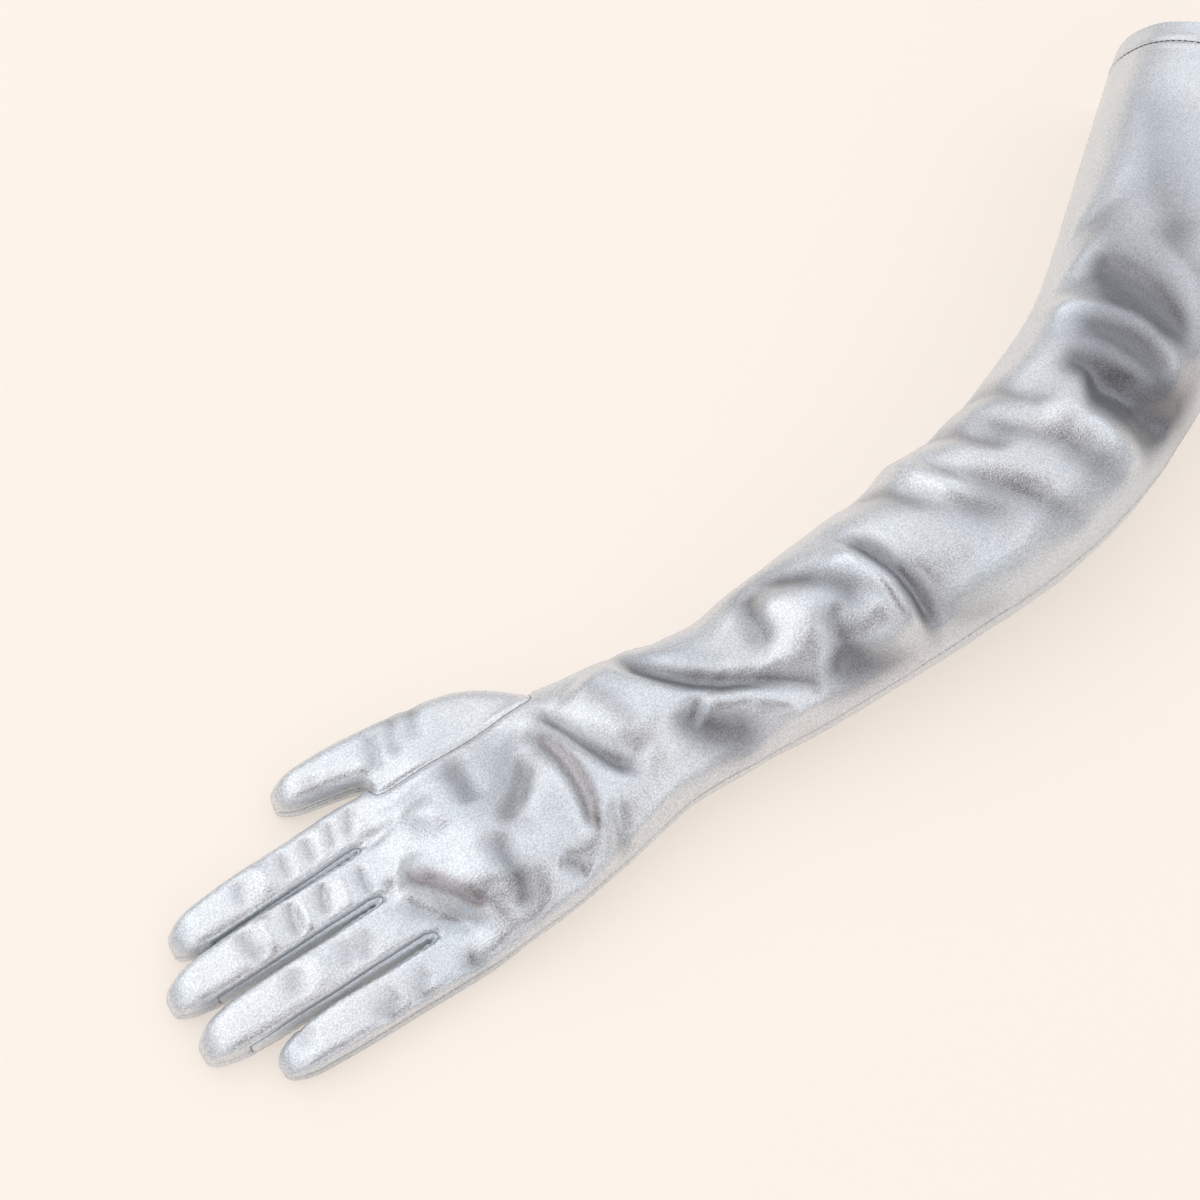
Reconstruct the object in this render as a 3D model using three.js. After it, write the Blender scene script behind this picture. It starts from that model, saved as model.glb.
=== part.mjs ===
// Long satin glove for the left hand, worn full, lying palm down with its sleeve bent at the elbow.
// Millimetres, +Z up. The origin lies under the palm, the fingers point along -X and the forearm
// runs along +X. The thumb side is +Y.
import * as THREE from 'three';

// Cloth
const wall = 1.5;
const seamGap = 0.4;
const hemLayers = 2;
const hemDepth = 12;

// Lengths along the middle line of hand and arm
const handLength = 146;
const foreArmLength = 169;
const upperArmLength = 215;
const crotchAhead = 70;
const elbowDegrees = 38;
const elbowRadius = 250;

// Breadths and heights of hand and arm
const handBreadth = 80;
const wristBreadth = 58;
const foreArmBreadth = 70;
const elbowBreadth = 76;
const sleeveBreadth = 78;
const handHeight = 30;
const wristHeight = 38;
const foreArmHeight = 58;
const elbowHeight = 70;
const sleeveHeight = 75;

// How far the top of the sleeve's edge stands back from its underside, and where that lean begins
const hemLean = 18;
const leanLength = 90;

// Fingers and thumb
const fingerLength = 83;
const fingerBreadth = 20;
const fingerHeight = 16;
const fingerSquare = 2.3;
const webAngle = 34;
const tipRound = 13;
const thumbLength = 99;
const thumbOut = 61;
const thumbHeight = 17;
const thumbSquare = 2.2;

// Shares of breadth and height that are left at the very tip of a finger
const tipBreadth = 0.12;
const tipHeight = 0.35;

// Folds: height and half breadth of a full one, steps along one for finding the nearest point,
// share of its length over which it dies away and what is left there, and how far round the
// underside folds still show
const foldDepth = 5;
const foldBreadth = 12;
const foldSamples = 16;
const foldEnding = 0.25;
const foldEndHeight = 0.25;
const foldsUnder = 0.35;

// Shares of a finger's length: how much its side strips have narrowed where they end, where the
// crotches' skew has run out, and of the thumb's length: where it has taken its own round shape
const stripNarrowing = 0.7;
const fingerSkewOut = 0.6;
const thumbGrown = 0.3;

// Share of a section's height where it is broadest, and how far its underside is pressed flat
const seamShare = 0.46;
const pressed = 0.3;

// The middle line: straight through hand and forearm, an arc round the elbow, then straight again
const bend = THREE.MathUtils.degToRad(elbowDegrees);
const bendTangent = elbowRadius * Math.tan(bend / 2);
const bendLength = elbowRadius * bend;
const straightLength = handLength + foreArmLength - bendTangent;
const elbowAt = straightLength + bendLength / 2;
const sleeveLength = straightLength + bendLength + upperArmLength - bendTangent;
const hemAt = sleeveLength - hemDepth;

const lerp = THREE.MathUtils.lerp;
const clamp = THREE.MathUtils.clamp;
const smooth = (share) => THREE.MathUtils.smoothstep(share, 0, 1);
const onHand = (share) => share * handLength;
const onForeArm = (share) => lerp(handLength, elbowAt, share);
const onUpperArm = (share) => lerp(elbowAt, sleeveLength, share);

// Sections of hand and arm: place on the middle line, breadth, height, shift to the thumb side,
// and squareness, where 2 is an ellipse
const sectionColumns = ['along', 'breadth', 'height', 'shift', 'square'];
const sections = [
  [onHand(0.0), handBreadth * 1.0, handHeight * 0.62, handBreadth * -0.03, 2.3],
  [onHand(0.1), handBreadth * 0.99, handHeight * 0.82, handBreadth * -0.033, 2.4],
  [onHand(0.28), handBreadth * 0.99, handHeight * 0.95, handBreadth * -0.028, 2.4],
  [onHand(0.48), handBreadth * 0.95, handHeight * 1.0, handBreadth * -0.005, 2.3],
  [onHand(0.62), handBreadth * 0.88, handHeight * 1.08, handBreadth * 0.012, 2.2],
  [onHand(0.76), handBreadth * 0.81, handHeight * 1.18, handBreadth * 0.022, 2.1],
  [onHand(0.88), wristBreadth * 1.05, wristHeight * 0.98, wristBreadth * 0.0, 2.1],
  [onHand(1.0), wristBreadth * 1.0, wristHeight * 1.0, wristBreadth * -0.025, 2.1],
  [onForeArm(0.1), foreArmBreadth * 0.88, foreArmHeight * 0.74, foreArmBreadth * -0.015, 2.1],
  [onForeArm(0.2), foreArmBreadth * 0.92, foreArmHeight * 0.83, foreArmBreadth * -0.005, 2.1],
  [onForeArm(0.4), foreArmBreadth * 0.97, foreArmHeight * 0.95, foreArmBreadth * 0.015, 2.1],
  [onForeArm(0.62), foreArmBreadth * 1.02, foreArmHeight * 1.05, foreArmBreadth * 0.04, 2.1],
  [onForeArm(0.82), elbowBreadth * 0.98, elbowHeight * 0.95, elbowBreadth * 0.03, 2.1],
  [onForeArm(1.0), elbowBreadth * 1.0, elbowHeight * 1.0, elbowBreadth * 0.02, 2.1],
  [onUpperArm(0.15), elbowBreadth * 1.02, elbowHeight * 1.02, elbowBreadth * 0.01, 2.1],
  [onUpperArm(0.4), sleeveBreadth * 0.99, sleeveHeight * 0.98, 0, 2.1],
  [onUpperArm(0.75), sleeveBreadth * 1.0, sleeveHeight * 1.0, 0, 2.1],
  [onUpperArm(1.0), sleeveBreadth * 1.0, sleeveHeight * 1.0, 0, 2.1],
];

// Fingers from the little finger to the index: reach from the crotch line, side of the root and of
// the tip from the middle line, breadth and height at the root
const fingers = [
  { reach: fingerLength * 0.72, root: handBreadth * -0.42, tip: handBreadth * -0.435,
    breadth: fingerBreadth * 0.91, height: fingerHeight * 0.9 },
  { reach: fingerLength * 0.975, root: handBreadth * -0.16, tip: handBreadth * -0.2,
    breadth: fingerBreadth * 1.0, height: fingerHeight * 1.0 },
  { reach: fingerLength * 1.0, root: handBreadth * 0.1, tip: handBreadth * 0.062,
    breadth: fingerBreadth * 0.97, height: fingerHeight * 1.03 },
  { reach: fingerLength * 0.885, root: handBreadth * 0.35, tip: handBreadth * 0.294,
    breadth: fingerBreadth * 0.95, height: fingerHeight * 1.0 },
];
// Taper of a finger: share of its length, share of its root breadth, share of its root height
const fingerTaper = [
  [0.0, 1.0, 1.0],
  [0.3, 0.97, 0.94],
  [0.55, 0.95, 0.92],
  [0.8, 0.87, 0.82],
  [1.0, 0.76, 0.7],
];
// How far each crotch lies behind the crotch line, from the outer edge of the little finger over
// the three crotches to the outer edge of the index, and where that skew has run out
const crotchBack = [handLength * 0.08, handLength * 0.06, handLength * -0.01, handLength * 0.007, 0];
const overLength = handBreadth * 1.35;
const skewOut = handLength * 0.5;
const knuckles = handLength * 0.26;

// Folds over the top of hand and sleeve: start, middle and end, each as its place along the sleeve
// and its share of the way over from the little finger's side to the thumb's side, then half
// breadth, and height, which is below zero for a valley
const foldRows = [
  [0.008, 0.5, 0.042, 0.37, 0.07, 0.14, foldBreadth * 0.55, foldDepth * -0.5],
  [0.045, 0.66, 0.085, 0.74, 0.12, 0.86, foldBreadth * 0.7, foldDepth * -0.45],
  [0.125, 0.68, 0.1, 0.33, 0.078, 0.02, foldBreadth * 0.8, foldDepth * -0.6],
  [0.135, 0.86, 0.157, 0.43, 0.137, 0.1, foldBreadth * 0.65, foldDepth * -0.75],
  [0.14, 1.0, 0.158, 0.72, 0.172, 0.42, foldBreadth * 0.65, foldDepth * 0.55],
  [0.158, 0.98, 0.17, 0.57, 0.194, 0.22, foldBreadth * 0.6, foldDepth * -0.7],
  [0.19, 1.0, 0.2, 0.66, 0.205, 0.36, foldBreadth * 0.9, foldDepth * 0.6],
  [0.222, 0.97, 0.243, 0.55, 0.37, 0.12, foldBreadth * 0.8, foldDepth * -0.8],
  [0.25, 0.98, 0.275, 0.72, 0.305, 0.5, foldBreadth * 1.0, foldDepth * 0.5],
  [0.318, 0.92, 0.342, 0.5, 0.372, 0.2, foldBreadth * 0.7, foldDepth * -0.65],
  [0.355, 0.88, 0.372, 0.5, 0.395, 0.2, foldBreadth * 0.65, foldDepth * 0.5],
  [0.392, 0.85, 0.412, 0.45, 0.438, 0.15, foldBreadth * 0.7, foldDepth * -0.8],
  [0.44, 0.9, 0.462, 0.5, 0.47, 0.22, foldBreadth * 0.85, foldDepth * 0.5],
  [0.5, 0.97, 0.49, 0.6, 0.515, 0.25, foldBreadth * 0.8, foldDepth * -0.7],
  [0.545, 1.0, 0.54, 0.6, 0.56, 0.3, foldBreadth * 0.8, foldDepth * 0.5],
  [0.592, 0.97, 0.585, 0.6, 0.62, 0.12, foldBreadth * 0.75, foldDepth * -0.9],
  [0.63, 0.9, 0.622, 0.5, 0.652, 0.04, foldBreadth * 0.75, foldDepth * 0.95],
  [0.69, 0.9, 0.685, 0.55, 0.665, 0.16, foldBreadth * 0.75, foldDepth * -0.8],
  [0.725, 0.85, 0.73, 0.58, 0.7, 0.24, foldBreadth * 0.85, foldDepth * 0.6],
  [0.885, 0.76, 0.77, 0.53, 0.722, 0.28, foldBreadth * 1.1, foldDepth * -0.5],
  [0.91, 0.9, 0.92, 0.76, 0.935, 0.62, foldBreadth * 0.5, foldDepth * -0.3],
];

// Resolution: segments over one finger's back, across one finger's side strip and along the parts
const lobeSteps = 4;
const webSteps = 2;
const handSteps = 20;
const foreArmSteps = 17;
const upperArmSteps = 20;
const hemSteps = 2;
const fingerStations = [0.05, 0.14, 0.27, 0.41, 0.55, 0.69, 0.81, 0.9, 0.96, 0.99];
const webEnd = 7;
const thumbStations = [0.1, 0.2, 0.32, 0.45, 0.58, 0.7, 0.81, 0.9, 0.96, 0.99];
const topSteps = lobeSteps * fingers.length;
const ringSteps = topSteps * 2;

// The thumb's seat in the side of the hand, in steps along it and round it
const thumbFrom = 2;
const thumbTo = 11;
const thumbOver = 2;
const thumbUnder = 2;

// The thumb: share of its length, then how far ahead of its rear root and how far from the middle
// line its outer edge and its inner edge lie, and its height
const thumbTable = [
  [0.0, 0, thumbOut * 0.63, thumbLength * 0.65, thumbOut * 0.61, thumbHeight * 1.25],
  [0.15, thumbLength * 0.08, thumbOut * 0.8, thumbLength * 0.66, thumbOut * 0.635, thumbHeight * 1.25],
  [0.3, thumbLength * 0.22, thumbOut * 0.9, thumbLength * 0.685, thumbOut * 0.665, thumbHeight * 1.2],
  [0.45, thumbLength * 0.41, thumbOut * 0.955, thumbLength * 0.72, thumbOut * 0.69, thumbHeight * 1.12],
  [0.6, thumbLength * 0.61, thumbOut * 0.99, thumbLength * 0.765, thumbOut * 0.71, thumbHeight * 1.02],
  [0.8, thumbLength * 0.8, thumbOut * 1.0, thumbLength * 0.845, thumbOut * 0.735, thumbHeight * 0.92],
  [1.0, thumbLength * 0.985, thumbOut * 0.99, thumbLength * 1.0, thumbOut * 0.78, thumbHeight * 0.75],
];

// Looks up one column of a table by a smooth curve through its rows
function readTable(rows, column, at) {
  const last = rows.length - 1;
  let row = 0;
  while (row < last - 1 && rows[row + 1][0] <= at) row += 1;
  const here = rows[row];
  const next = rows[row + 1];
  const before = rows[Math.max(row - 1, 0)];
  const after = rows[Math.min(row + 2, last)];
  const span = next[0] - here[0];
  const share = clamp((at - here[0]) / span, 0, 1);
  const slopeHere = (next[column] - before[column]) / (next[0] - before[0]) * span;
  const slopeNext = (after[column] - here[column]) / (after[0] - here[0]) * span;
  const rise = next[column] - here[column];
  const bow = share * (1 - share);
  return here[column] + rise * share + bow * ((1 - share) * (slopeHere - rise) - share * (slopeNext - rise));
}

function sectionAt(along) {
  const section = {};
  sectionColumns.forEach((name, column) => { section[name] = readTable(sections, column, along); });
  return section;
}

// One point of a cross section: 180 degrees is the little finger's side, 90 the top, 0 the thumb's
// side, and below that the underside, pressed flat where it rests
function outlinePoint(breadth, height, square, degrees) {
  const angle = THREE.MathUtils.degToRad(degrees);
  const side = Math.cos(angle);
  const up = Math.sin(angle);
  const broadest = height * seamShare;
  const reach = up > 0 ? height - broadest : broadest * (1 + pressed);
  const across = Math.sign(side) * Math.pow(Math.abs(side), 2 / square) * breadth / 2;
  const lift = broadest + Math.sign(up) * Math.pow(Math.abs(up), 2 / square) * reach;
  return { across, lift: Math.max(lift, 0) };
}

// Points of a whole cross section spread evenly over its top and over its underside
const outlineSamples = 90;
function outlineRing(section) {
  const ring = [];
  for (const half of [0, 1]) {
    const points = [];
    const lengths = [0];
    for (let n = 0; n <= outlineSamples; n += 1) {
      const degrees = 180 - 180 * (half + n / outlineSamples);
      points.push(outlinePoint(section.breadth, section.height, section.square, degrees));
      if (n > 0) {
        const step = Math.hypot(points[n].across - points[n - 1].across, points[n].lift - points[n - 1].lift);
        lengths.push(lengths[n - 1] + step);
      }
    }
    let n = 0;
    for (let step = 0; step < topSteps; step += 1) {
      const wanted = lengths[outlineSamples] * step / topSteps;
      while (lengths[n + 1] < wanted) n += 1;
      const share = (wanted - lengths[n]) / (lengths[n + 1] - lengths[n]);
      ring.push({
        across: lerp(points[n].across, points[n + 1].across, share) + section.shift,
        lift: lerp(points[n].lift, points[n + 1].lift, share),
      });
    }
  }
  return ring;
}

// Place on the middle line, with the heading in radians from +X
function pathAt(along) {
  const turn = clamp((along - straightLength) / elbowRadius, 0, bend);
  const before = Math.min(along, straightLength);
  const beyond = Math.max(along - straightLength - bendLength, 0);
  return {
    x: before - crotchAhead + elbowRadius * Math.sin(turn) + beyond * Math.cos(bend),
    y: elbowRadius * (1 - Math.cos(turn)) + beyond * Math.sin(bend),
    turn,
  };
}

function placed(along, across, lift) {
  const here = pathAt(along);
  return new THREE.Vector3(
    here.x - across * Math.sin(here.turn),
    here.y + across * Math.cos(here.turn),
    lift,
  );
}

// How far a point of the ring lies behind the crotch line, by its place on the way round
function backAt(step) {
  const overTop = step <= topSteps ? step : ringSteps - step;
  const place = overTop / lobeSteps;
  const low = Math.min(Math.floor(place), fingers.length - 1);
  return lerp(crotchBack[low], crotchBack[low + 1], place - low);
}

// Angles of the two edges of a finger's back, between which its side strips lie on the other hand
function backEdges(number, web) {
  return {
    from: number > 0 ? 180 - web : 180,
    to: number < fingers.length - 1 ? web : 0,
  };
}

// How full a finger is at a distance from its tip
function tipRounding(left) {
  return left < tipRound ? Math.sqrt(1 - (1 - left / tipRound) ** 2) : 1;
}

function fingerPoint(number, share, degrees) {
  const finger = fingers[number];
  const round = tipRounding(finger.reach * (1 - share));
  const breadth = finger.breadth * readTable(fingerTaper, 1, share) * lerp(tipBreadth, 1, round);
  const height = finger.height * readTable(fingerTaper, 2, share) * lerp(tipHeight, 1, round);
  const point = outlinePoint(breadth, height, fingerSquare, degrees);
  return { across: point.across + lerp(finger.root, finger.tip, share), lift: point.lift };
}

// The ring at the crotch line, where the hand takes the shape of the four finger roots
function lobePoint(step) {
  const overTop = step <= topSteps ? step : ringSteps - step;
  const sign = step <= topSteps ? 1 : -1;
  const number = Math.min(Math.floor(overTop / lobeSteps), fingers.length - 1);
  const local = overTop - number * lobeSteps;
  const edges = backEdges(number, webAngle);
  const point = fingerPoint(number, 0, sign * lerp(edges.from, edges.to, local / lobeSteps));
  if (local > 0 || number === 0) return point;
  const other = fingerPoint(number - 1, 0, sign * webAngle);
  return { across: (point.across + other.across) / 2, lift: (point.lift + other.lift) / 2 };
}

// The whole outer surface: points, and the four- or three-sided faces of each piece of cloth
const points = [];
const faces = {};
function addPoint(point) {
  points.push(point);
  return points.length - 1;
}
function addFace(piece, ...corners) {
  faces[piece] = faces[piece] ?? [];
  faces[piece].push(corners);
}

const stations = [];
for (let n = 0; n < handSteps; n += 1) stations.push(onHand(n / handSteps));
for (let n = 0; n < foreArmSteps; n += 1) stations.push(onForeArm(n / foreArmSteps));
for (let n = 0; n < upperArmSteps; n += 1) stations.push(lerp(elbowAt, hemAt, n / upperArmSteps));
for (let n = 0; n <= hemSteps; n += 1) stations.push(hemAt + hemDepth * n / hemSteps);
const hemStation = stations.length - 1 - hemSteps;

// Height of all folds together at one place of the sleeve
function foldHeight(along, over) {
  let height = 0;
  for (const [along0, over0, along1, over1, along2, over2, breadth, rise] of foldRows) {
    let nearest = Infinity;
    let nearestShare = 0;
    for (let n = 0; n <= foldSamples; n += 1) {
      const share = n / foldSamples;
      const near = lerp(lerp(along0, along1, share), lerp(along1, along2, share), share) * sleeveLength;
      const side = lerp(lerp(over0, over1, share), lerp(over1, over2, share), share);
      const distance = Math.hypot(near - along, (side - over) * overLength);
      if (distance < nearest) {
        nearest = distance;
        nearestShare = share;
      }
    }
    const ending = smooth(Math.min(nearestShare, 1 - nearestShare) / foldEnding + foldEndHeight);
    height += rise * ending * Math.exp(-((nearest / breadth) ** 2));
  }
  return height;
}

const body = stations.map((along) => {
  const section = sectionAt(along);
  const settled = smooth(along / knuckles);
  const skew = 1 - smooth(along / skewOut);
  const leaning = smooth((along - sleeveLength + leanLength) / leanLength);
  return outlineRing(section).map((even, step) => {
    const lobe = lobePoint(step);
    const across = lerp(lobe.across, even.across, settled);
    const lift = lerp(lobe.lift, even.lift, settled);
    const under = Math.max(step - topSteps, 0) / topSteps;
    const over = step <= topSteps ? step / topSteps : Math.round(1 - under);
    const beneath = smooth(1 - Math.min(under, 1 - under) / foldsUnder);
    const rise = lift > 0 ? foldHeight(along, over) * settled * (step <= topSteps ? 1 : beneath) : 0;
    const outward = new THREE.Vector2(
      (across - section.shift) / section.breadth ** 2,
      (lift - section.height * seamShare) / section.height ** 2,
    ).normalize();
    const lean = hemLean * (0.5 - lift / section.height) * leaning;
    return addPoint(placed(
      along + backAt(step) * skew + lean,
      across + outward.x * rise,
      Math.max(lift + outward.y * rise, 0),
    ));
  });
});

const inThumbSeat = (station, step) => station >= thumbFrom && station < thumbTo
  && step >= topSteps - thumbOver && step < topSteps + thumbUnder;
for (let station = 0; station < stations.length - 1; station += 1) {
  for (let step = 0; step < ringSteps; step += 1) {
    if (inThumbSeat(station, step)) continue;
    const sleevePiece = step < topSteps ? 'back_panel' : 'palm_panel';
    const next = (step + 1) % ringSteps;
    addFace(station >= hemStation ? 'hem' : sleevePiece,
      body[station][step], body[station + 1][step], body[station + 1][next], body[station][next]);
  }
}

// Webs between the fingers, from the back down to the palm
const sideStrips = ['fourchette_ring_little', 'fourchette_middle_ring', 'fourchette_index_middle'];
const webs = sideStrips.map((name, number) => {
  const web = [];
  for (let n = 1; n < webSteps; n += 1) {
    const low = fingerPoint(number, 0, lerp(webAngle, -webAngle, n / webSteps));
    const high = fingerPoint(number + 1, 0, lerp(180 - webAngle, 180 + webAngle, n / webSteps));
    const back = crotchBack[number + 1];
    web.push(addPoint(placed(back, (low.across + high.across) / 2, (low.lift + high.lift) / 2)));
  }
  return web;
});

// The ring of one finger as a list of steps, each with its angle and what it belongs to: the back
// with side 1, the palm with side -1, or a side strip, numbered from its top edge down
function fingerColumns(number, web) {
  const edges = backEdges(number, web);
  const columns = [];
  const addLobe = (n, side) => columns.push({
    degrees: side * lerp(edges.from, edges.to, n / lobeSteps),
    step: side * (number * lobeSteps + n),
    side,
  });
  const addStrip = (top, bottom, strip, place) => columns.push({
    degrees: lerp(top, bottom, place / webSteps),
    side: 0,
    strip,
    place,
  });
  for (let n = 0; n < lobeSteps; n += 1) addLobe(n, 1);
  if (number < fingers.length - 1) {
    for (let n = 0; n < webSteps; n += 1) addStrip(web, -web, number, n);
  }
  for (let n = lobeSteps; n > 0; n -= 1) addLobe(n, -1);
  if (number > 0) {
    for (let n = webSteps; n > 0; n -= 1) addStrip(180 - web, 180 + web, number - 1, n);
  }
  return columns;
}

function rootPoint(column) {
  const place = column.place;
  if (column.side !== 0) return body[0][(column.step + ringSteps) % ringSteps];
  if (place > 0 && place < webSteps) return webs[column.strip][place - 1];
  const crotch = (column.strip + 1) * lobeSteps;
  return body[0][place === 0 ? crotch : ringSteps - crotch];
}

function fingerPiece(column, station) {
  if (column.side > 0) return 'back_panel';
  if (column.side < 0) return 'palm_panel';
  if (station < webEnd) return sideStrips[column.strip];
  const falling = column.degrees < 90;
  return (falling ? column.degrees > 0 : column.degrees <= 180) ? 'back_panel' : 'palm_panel';
}

fingers.forEach((finger, number) => {
  let ring = fingerColumns(number, webAngle).map((column) => rootPoint(column));
  const edgeBack = [crotchBack[number], crotchBack[number + 1]];
  fingerStations.forEach((share, station) => {
    const web = webAngle * (1 - stripNarrowing * smooth(share / fingerStations[webEnd - 1]));
    const columns = fingerColumns(number, web);
    const skew = 1 - smooth(share / fingerSkewOut);
    const nextRing = columns.map((column) => {
      const point = fingerPoint(number, share, column.degrees);
      const side = clamp(0.5 + (point.across - lerp(finger.root, finger.tip, share)) / finger.breadth, 0, 1);
      const back = lerp(edgeBack[0], edgeBack[1], side) * skew;
      return addPoint(placed(back - finger.reach * share, point.across, point.lift));
    });
    columns.forEach((column, n) => {
      const next = (n + 1) % columns.length;
      addFace(fingerPiece(column, station), ring[n], ring[next], nextRing[next], nextRing[n]);
    });
    ring = nextRing;
  });
  const tipLift = finger.height * readTable(fingerTaper, 2, 1) * tipHeight * seamShare;
  const tip = addPoint(placed(-finger.reach, finger.tip, tipLift));
  fingerColumns(number, webAngle).forEach((column, n, columns) => {
    addFace(fingerPiece(column, webEnd), ring[n], ring[(n + 1) % columns.length], tip);
  });
});

// The thumb grows out of its seat and turns forward along the hand
const seat = [];
for (let n = 0; n < thumbOver; n += 1) seat.push(body[thumbTo][topSteps - n]);
for (let n = thumbTo; n > thumbFrom; n -= 1) seat.push(body[n][topSteps - thumbOver]);
for (let n = -thumbOver; n < thumbUnder; n += 1) seat.push(body[thumbFrom][topSteps + n]);
for (let n = thumbFrom; n < thumbTo; n += 1) seat.push(body[n][topSteps + thumbUnder]);
for (let n = thumbUnder; n > 0; n -= 1) seat.push(body[thumbTo][topSteps + n]);
const thumbStart = stations[thumbTo] - crotchAhead;
const thumbPiece = (step) => (step < thumbOver * 2 + thumbTo - thumbFrom ? 'thumb_back' : 'thumb_palm');
let thumbRing = seat;
thumbStations.forEach((share) => {
  const edge = (column) => readTable(thumbTable, column, share);
  const outer = new THREE.Vector2(thumbStart - edge(1), edge(2));
  const inner = new THREE.Vector2(thumbStart - edge(3), edge(4));
  const centre = outer.clone().add(inner).multiplyScalar(0.5);
  const aside = outer.clone().sub(inner).normalize();
  const round = tipRounding(thumbLength * (1 - share));
  const breadth = outer.distanceTo(inner) * lerp(tipBreadth, 1, round);
  const height = edge(5) * lerp(tipHeight, 1, round);
  const grown = smooth(share / thumbGrown);
  const nextRing = seat.map((root, n) => {
    const point = outlinePoint(breadth, height, thumbSquare, 360 * n / seat.length);
    const spot = new THREE.Vector3(
      centre.x + aside.x * point.across,
      centre.y + aside.y * point.across,
      point.lift,
    );
    return addPoint(points[root].clone().lerp(spot, grown));
  });
  nextRing.forEach((corner, n) => {
    const next = (n + 1) % seat.length;
    addFace(thumbPiece(n), thumbRing[n], nextRing[n], nextRing[next], thumbRing[next]);
  });
  thumbRing = nextRing;
});
const tipRow = thumbTable[thumbTable.length - 1];
const thumbTip = addPoint(new THREE.Vector3(
  thumbStart - (tipRow[1] + tipRow[3]) / 2,
  (tipRow[2] + tipRow[4]) / 2,
  tipRow[5] * tipHeight * seamShare,
));
thumbRing.forEach((corner, n) => {
  addFace(thumbPiece(n), corner, thumbTip, thumbRing[(n + 1) % seat.length]);
});

// Outward normals of the whole surface
function faceNormal(corners) {
  const across = points[corners[2]].clone().sub(points[corners[0]]);
  const other = points[corners[corners.length - 1]].clone().sub(points[corners[1]]);
  return across.cross(other);
}
const normals = points.map(() => new THREE.Vector3());
for (const corners of Object.values(faces).flat()) {
  const normal = faceNormal(corners);
  corners.forEach((corner) => normals[corner].add(normal));
}
normals.forEach((normal) => normal.normalize());

// Gives one piece of cloth its thickness and draws its edges in by half of the seam gap
const sharpest = 0.12;
function clothPiece(name, color, layers) {
  const piece = faces[name];
  const edges = new Map();
  for (const corners of piece) {
    const facing = faceNormal(corners).normalize();
    corners.forEach((from, n) => {
      const to = corners[(n + 1) % corners.length];
      if (edges.delete(`${to}_${from}`)) return;
      const inward = points[to].clone().sub(points[from]).normalize();
      edges.set(`${from}_${to}`, { from, to, inward: facing.clone().cross(inward) });
    });
  }
  const pulls = new Map();
  for (const { from, to, inward } of edges.values()) {
    for (const corner of [from, to]) pulls.set(corner, [...(pulls.get(corner) ?? []), inward]);
  }
  const outer = new Map();
  const inner = new Map();
  const positions = [];
  for (const corner of new Set(piece.flat())) {
    const spot = points[corner].clone();
    if (pulls.has(corner)) {
      const [one, other] = pulls.get(corner);
      const reach = seamGap / 2 / Math.max(1 + one.dot(other), sharpest);
      spot.addScaledVector(one, reach).addScaledVector(other, reach);
    }
    outer.set(corner, positions.length / 3);
    positions.push(spot.x, spot.y, Math.max(spot.z, 0));
    spot.addScaledVector(normals[corner], -wall * layers);
    inner.set(corner, positions.length / 3);
    positions.push(spot.x, spot.y, spot.z);
  }
  const index = [];
  for (const corners of piece) {
    for (let n = 2; n < corners.length; n += 1) {
      index.push(outer.get(corners[0]), outer.get(corners[n - 1]), outer.get(corners[n]));
      index.push(inner.get(corners[0]), inner.get(corners[n]), inner.get(corners[n - 1]));
    }
  }
  for (const { from, to } of edges.values()) {
    // Both pieces at a seam split their facing edges along the same diagonal
    if (from < to) {
      index.push(outer.get(to), outer.get(from), inner.get(from));
      index.push(outer.get(to), inner.get(from), inner.get(to));
    } else {
      index.push(outer.get(to), outer.get(from), inner.get(to));
      index.push(outer.get(from), inner.get(from), inner.get(to));
    }
  }
  const geometry = new THREE.BufferGeometry();
  geometry.setAttribute('position', new THREE.Float32BufferAttribute(positions, 3));
  geometry.setIndex(index);
  geometry.computeVertexNormals();
  const material = new THREE.MeshStandardMaterial({ color, roughness: 0.38, metalness: 0.25 });
  const mesh = new THREE.Mesh(geometry, material);
  mesh.name = name;
  return mesh;
}

const satin = 0xc3ccd6;
const satinSide = 0xaab6c4;
const glove = new THREE.Group();
glove.add(clothPiece('back_panel', satin, 1));
glove.add(clothPiece('palm_panel', satin, 1));
glove.add(clothPiece('thumb_back', satin, 1));
glove.add(clothPiece('thumb_palm', satin, 1));
sideStrips.forEach((name) => glove.add(clothPiece(name, satinSide, 1)));
glove.add(clothPiece('hem', satin, hemLayers));

export default glove;
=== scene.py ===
import bpy
import math
import numpy as np
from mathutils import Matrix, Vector, noise


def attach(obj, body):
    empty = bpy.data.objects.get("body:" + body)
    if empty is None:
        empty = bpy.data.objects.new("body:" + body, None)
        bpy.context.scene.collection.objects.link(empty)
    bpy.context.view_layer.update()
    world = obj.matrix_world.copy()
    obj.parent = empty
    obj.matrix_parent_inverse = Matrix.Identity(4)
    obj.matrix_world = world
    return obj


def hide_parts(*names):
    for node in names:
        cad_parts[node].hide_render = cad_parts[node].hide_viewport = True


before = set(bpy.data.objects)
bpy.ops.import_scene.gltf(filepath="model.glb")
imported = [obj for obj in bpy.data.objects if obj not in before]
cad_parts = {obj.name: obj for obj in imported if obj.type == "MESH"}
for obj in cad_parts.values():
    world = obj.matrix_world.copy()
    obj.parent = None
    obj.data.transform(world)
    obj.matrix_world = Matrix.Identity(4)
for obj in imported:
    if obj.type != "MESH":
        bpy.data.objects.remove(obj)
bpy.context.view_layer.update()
scene = bpy.context.scene

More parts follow.
